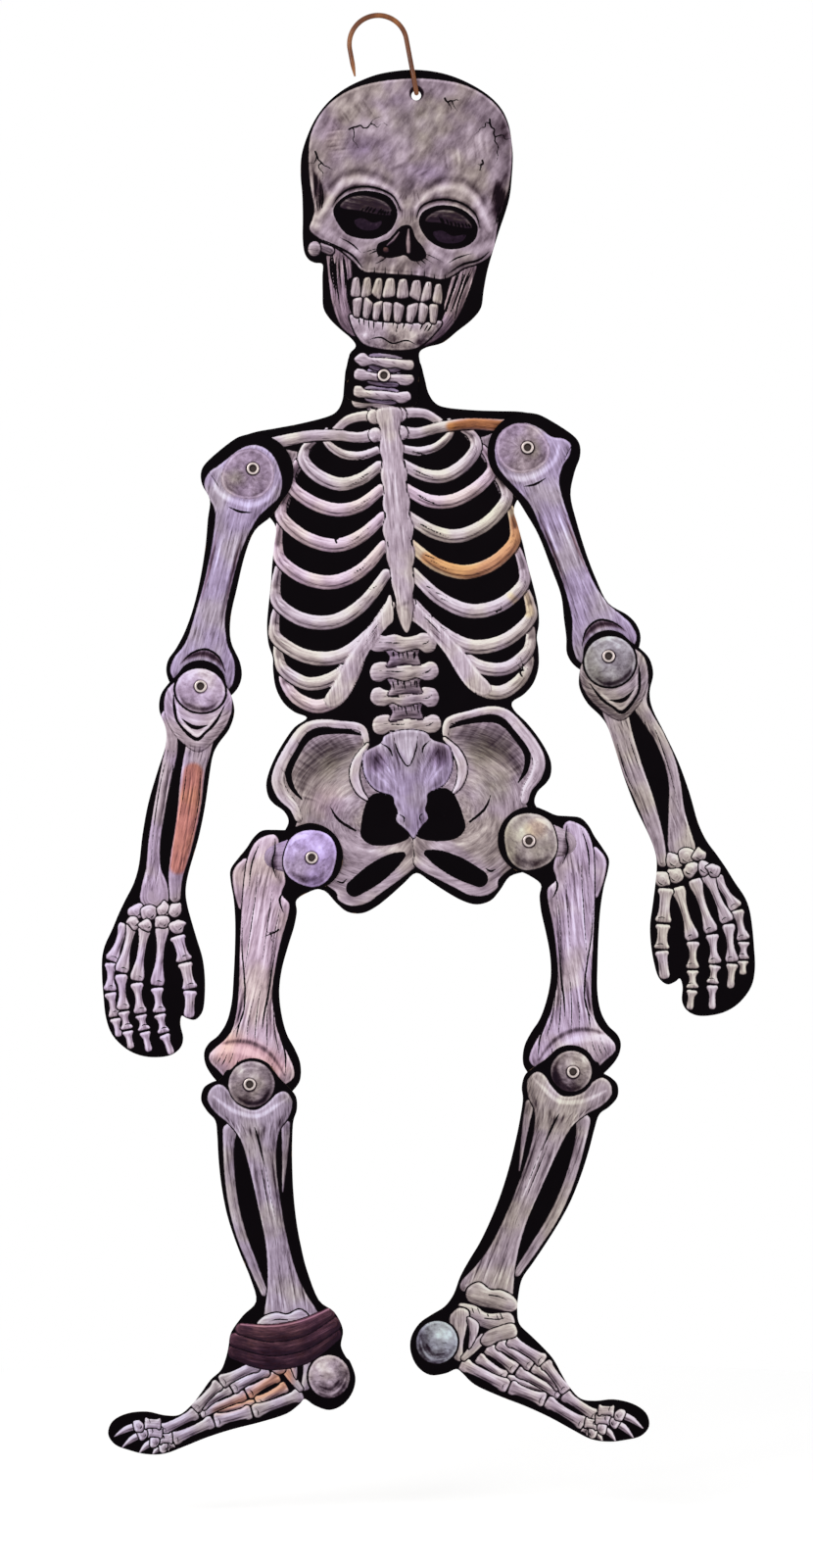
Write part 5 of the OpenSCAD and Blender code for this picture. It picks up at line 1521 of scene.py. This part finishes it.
def bright_eyelet(handling):
    """Plated eyelets: painted shade, with some tarnish, darkens the cup and the flange's outer edge."""
    finish, wires, shader = new_finish("bright eyelet")
    cup = wires.attribute("cup", "Fac")
    dull = wires.noise(wires.place(), 600.0, 3.0, 0.6)
    metal = wires.mix(dull, srgb(186, 168, 164), srgb(236, 224, 221))
    # Painted shade and shadow, with some tarnish: dark brown in the cup and round the flange's edge
    metal = wires.mix(cup, metal, srgb(30, 16, 14))
    gloss = wires.group(handling, Smoothest=0.22, Roughest=0.4)["Roughness"]
    wires.plug(shader, {"Base Color": metal, "Roughness": gloss, "Normal": wires.bump(dull, 0.08, 0.0002),
                        "Metallic": 1.0})
    return finish


def lacquered_wire(handling):
    """Steel wire under brown lacquer, streaked paler where it has been rubbed."""
    finish, wires, shader = new_finish("lacquered wire")
    place = wires.place()
    streak = wires.noise(wires.scaled(place, 1, 1, 0.25), 110.0, 3.0, 0.5)
    rubbed = wires.noise(place, 40.0, 2.0, 0.5)
    colour = wires.ramp(wires.math("ADD", wires.math("MULTIPLY", streak, 0.6),
                                   wires.math("MULTIPLY", rubbed, 0.5)), (0.3, srgb(64, 30, 12)),
                        (0.52, srgb(112, 60, 28)), (0.68, srgb(154, 94, 48)), (0.84, srgb(200, 144, 88)))
    gloss = wires.group(handling, Smoothest=0.2, Roughest=0.36)["Roughness"]
    wires.plug(shader, {"Base Color": colour, "Roughness": gloss, "Normal": wires.bump(streak, 0.1, 0.0003),
                        "Specular IOR Level": 0.3, "Coat Weight": 0.15, "Coat Roughness": 0.12})
    return finish


def arc(centre, radius, start, end, count):
    """Points of an arc, from start to end in degrees."""
    turns = np.radians(np.linspace(start, end, count))
    return [(centre[0] + radius * math.cos(t), centre[1] + radius * math.sin(t)) for t in turns]


def turned_eyelet(node, body, finish):
    """A rolled front flange that runs into a blind cup, its barrel, and a domed end clenched behind."""
    low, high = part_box(node)
    middle = (low + high) / 2
    flange = (high.x - low.x) / 2 / MM
    front, back = low.y / MM, high.y / MM
    roll = (flange - CUP_R) / 2
    profile = [(flange - roll + roll * math.cos(t), front + FLANGE_T - FLANGE_T * math.sin(t))
               for t in np.radians(np.linspace(0, 180, ROLL_STEPS))]
    profile += [(CUP_R - 0.02, back - 0.75 * FLANGE_T), (0.6 * CUP_R, back - 0.55 * FLANGE_T)]
    rear = [(0.5, back), (0.55 * END_R, back - 0.03), (0.85 * END_R, back - 0.12 * FLANGE_T),
            (END_R, back - 0.5 * FLANGE_T), (END_R, back - FLANGE_T), (BARREL_R, back - FLANGE_T),
            (BARREL_R, front + FLANGE_T)]
    rings = rear + profile
    bpy.ops.object.select_all(action="DESELECT")
    start = (middle.x, rings[0][1] * MM, middle.z)
    bpy.ops.mesh.primitive_circle_add(vertices=EYELET_SIDES, radius=rings[0][0] * MM, fill_type="NGON",
                                      location=start, rotation=(math.pi / 2, 0, 0))
    piece = bpy.context.active_object
    piece.name = node + "_turned"
    bpy.ops.object.transform_apply(location=True, rotation=True, scale=True)
    edit_open_edge()
    for (r0, y0), (r1, y1) in zip(rings[:-1], rings[1:]):
        bpy.ops.mesh.extrude_edges_move(TRANSFORM_OT_translate={"value": (0, (y1 - y0) * MM, 0)})
        bpy.ops.transform.resize(value=(r1 / r0, 1, r1 / r0), center_override=(middle.x, y1 * MM, middle.z))
    bpy.ops.mesh.edge_face_add()
    face_outwards()
    place = values_of(piece.data.vertices, "co", width=3)
    out = np.hypot(place[:, 0] - middle.x, place[:, 2] - middle.z) / MM
    ahead = place[:, 1] < high.y - 0.3 * FLANGE_T * MM
    # Painted shade, with some tarnish: dark in the blind cup and at the flange's edge on the paper
    shade_and_tarnish = np.interp(out, (0, 0.5 * CUP_R, CUP_R, 0.5 * (CUP_R + flange), 0.92 * flange, flange),
                        (0.8, 0.92, 1.0, 0.0, 0.1, 0.95)) * ahead
    piece.data.attributes.new("cup", "FLOAT", "POINT").data.foreach_set("value", shade_and_tarnish)
    bpy.ops.object.shade_smooth_by_angle(angle=math.radians(EYELET_ROUND))
    piece.data.materials.append(finish)
    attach(piece, body)
    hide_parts(node)


def bent_hook(finish):
    """The wire hook: a point, a round bend over the nail, a long leg and a small eye through the crown."""
    line = hook_line()
    bpy.ops.object.select_all(action="DESELECT")
    bpy.ops.curve.primitive_nurbs_path_add()
    piece = bpy.context.active_object
    piece.name = "hanging_hook_bent"
    curve = piece.data
    curve.splines.clear()
    run = curve.splines.new("POLY")
    run.points.add(len(line) - 1)
    for k, (point, (x, y, z)) in enumerate(zip(run.points, line)):
        point.co = (x * MM, y * MM, z * MM, 1)
        swell = BEND_SWELL * math.exp(-((k - BEND_MIDDLE) / BEND_REACH) ** 2)
        point.radius = min(1.0, TIP_R + TIP_GROWTH * k) + swell
    curve.dimensions = "3D"
    curve.bevel_depth = WIRE_R * MM
    curve.bevel_resolution = WIRE_STEPS
    curve.use_fill_caps = True
    bpy.ops.object.convert(target="MESH")
    piece = bpy.context.active_object
    bpy.ops.object.transform_apply(location=True, rotation=True, scale=True)
    bpy.ops.object.shade_smooth_by_angle(angle=math.radians(WIRE_ROUND))
    piece.data.materials.clear()
    piece.data.materials.append(finish)
    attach(piece, "hook")
    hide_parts("hanging_hook")


def hook_line():
    """Points along the hook's wire, from its free tip over the nail, down to the crown and up behind it."""
    turn_r = HOOK_DEPTH / 2 - HOOK_PASS / 2
    foot = HOOK_LEG - turn_r
    path = [(-HOOK_R, 0, -HOOK_TIP * (1 - share)) for share in (0, 0.1, 0.2, 0.3, 0.45, 0.6, 0.8)]
    path += [(x, 0, z) for x, z in arc((0, 0), HOOK_R, 180, 0, BEND_STEPS)]
    path += [(HOOK_R, 0, -foot * share) for share in (0.33, 0.66)]
    path += [(HOOK_R, y, z) for y, z in arc((turn_r, -foot), turn_r, 180, 270, TURN_STEPS)]
    path += [(HOOK_R, y, z) for y, z in arc((HOOK_DEPTH - turn_r, -foot), turn_r, 270, 360, TURN_STEPS)]
    path += [(HOOK_R, HOOK_DEPTH, -foot + HOOK_TAIL * share) for share in (0.5, 1)]
    flat = turned([(x, z, y) for x, y, z in path], HOOK_LEAN)
    return [(x, y, z + WIRE_R - HOOK_R) for x, z, y in flat]


def light_and_camera():
    """White surroundings, soft studio light, a pale floor under the feet, and the photograph's camera."""
    scene = bpy.context.scene
    scene.view_settings.view_transform = "Standard"
    middle = ((PHOTO_W / 2 - SEAT_PX) * PIXEL_MM * MM, 0, (SEAT_PY - PHOTO_H / 2) * PIXEL_MM * MM)
    lens = bpy.data.cameras.new("photo_camera")
    lens.sensor_width = SENSOR_MM
    lens.lens = SENSOR_MM * CAMERA_FAR / (PHOTO_H * PIXEL_MM * MM)
    camera = bpy.data.objects.new("photo_camera", lens)
    camera.location = (middle[0], -CAMERA_FAR, middle[2])
    camera.rotation_euler = (math.pi / 2, 0, 0)
    scene.collection.objects.link(camera)
    scene.camera = camera

    world = bpy.data.worlds.new("white surroundings")
    scene.world = world
    world.use_nodes = True
    wires = Wiring(world.node_tree)
    path = wires.add("ShaderNodeLightPath")
    seen = wires.math("MAXIMUM", path.outputs["Is Camera Ray"], path.outputs["Is Glossy Ray"])
    seen = wires.math("MAXIMUM", seen, path.outputs["Is Transmission Ray"])
    strength = wires.math("ADD", AMBIENT, wires.math("MULTIPLY", seen, 1 - AMBIENT))
    sky = wires.add("ShaderNodeBackground", {"Color": (1, 1, 1, 1), "Strength": strength})
    wires.add("ShaderNodeOutputWorld", {0: sky.outputs[0]})

    for name, place, power, size in LAMPS:
        lamp = bpy.data.lights.new(name, "AREA")
        lamp.energy = power
        lamp.size = size
        lit = bpy.data.objects.new(name, lamp)
        lit.location = place
        aim = Vector(middle) - Vector(place)
        lit.rotation_euler = aim.to_track_quat("-Z", "Y").to_euler()
        scene.collection.objects.link(lit)

    bpy.ops.object.select_all(action="DESELECT")
    bpy.ops.mesh.primitive_circle_add(vertices=FLOOR_SIDES, radius=FLOOR_R, fill_type="NGON",
                                      location=(middle[0], FLOOR_BACK, cad_low.z - FLOOR_DROP))
    floor = bpy.context.active_object
    floor.name = "pale_floor"
    bpy.ops.object.transform_apply(location=True, rotation=True, scale=True)
    finish, wires, shader = new_finish("pale floor")
    path = wires.add("ShaderNodeLightPath")
    glow = wires.math("MULTIPLY", path.outputs["Is Camera Ray"], FLOOR_GLOW)
    wires.plug(shader, {"Base Color": (0.8, 0.8, 0.8, 1), "Roughness": 0.9, "Specular IOR Level": 0.0,
                        "Emission Color": (1, 1, 1, 1), "Emission Strength": glow})
    floor.data.materials.append(finish)


light_and_camera()
fibre = paper_fibre_group()
handling = handling_group()
print_finish = printed_paper(fibre, handling)
board_finish = grey_chipboard(fibre, handling)
metal_finish = bright_eyelet(handling)
wire_finish = lacquered_wire(handling)

for body, sheet in painted_sheets():
    printed_sheet(sheet, body, print_finish)
for name, node in frame["nodes"].items():
    if name.endswith("_board"):
        node.data.materials.clear()
        node.data.materials.append(board_finish)
for side in ("left", "right"):
    for joint, part in (("shoulder", "upper_arm"), ("elbow", "forearm"), ("hip", "thigh"),
                        ("knee", "shin")):
        turned_eyelet(f"{side}_{joint}_eyelet", f"{side}_{part}", metal_finish)
turned_eyelet("neck_eyelet", "head", metal_finish)
bent_hook(wire_finish)
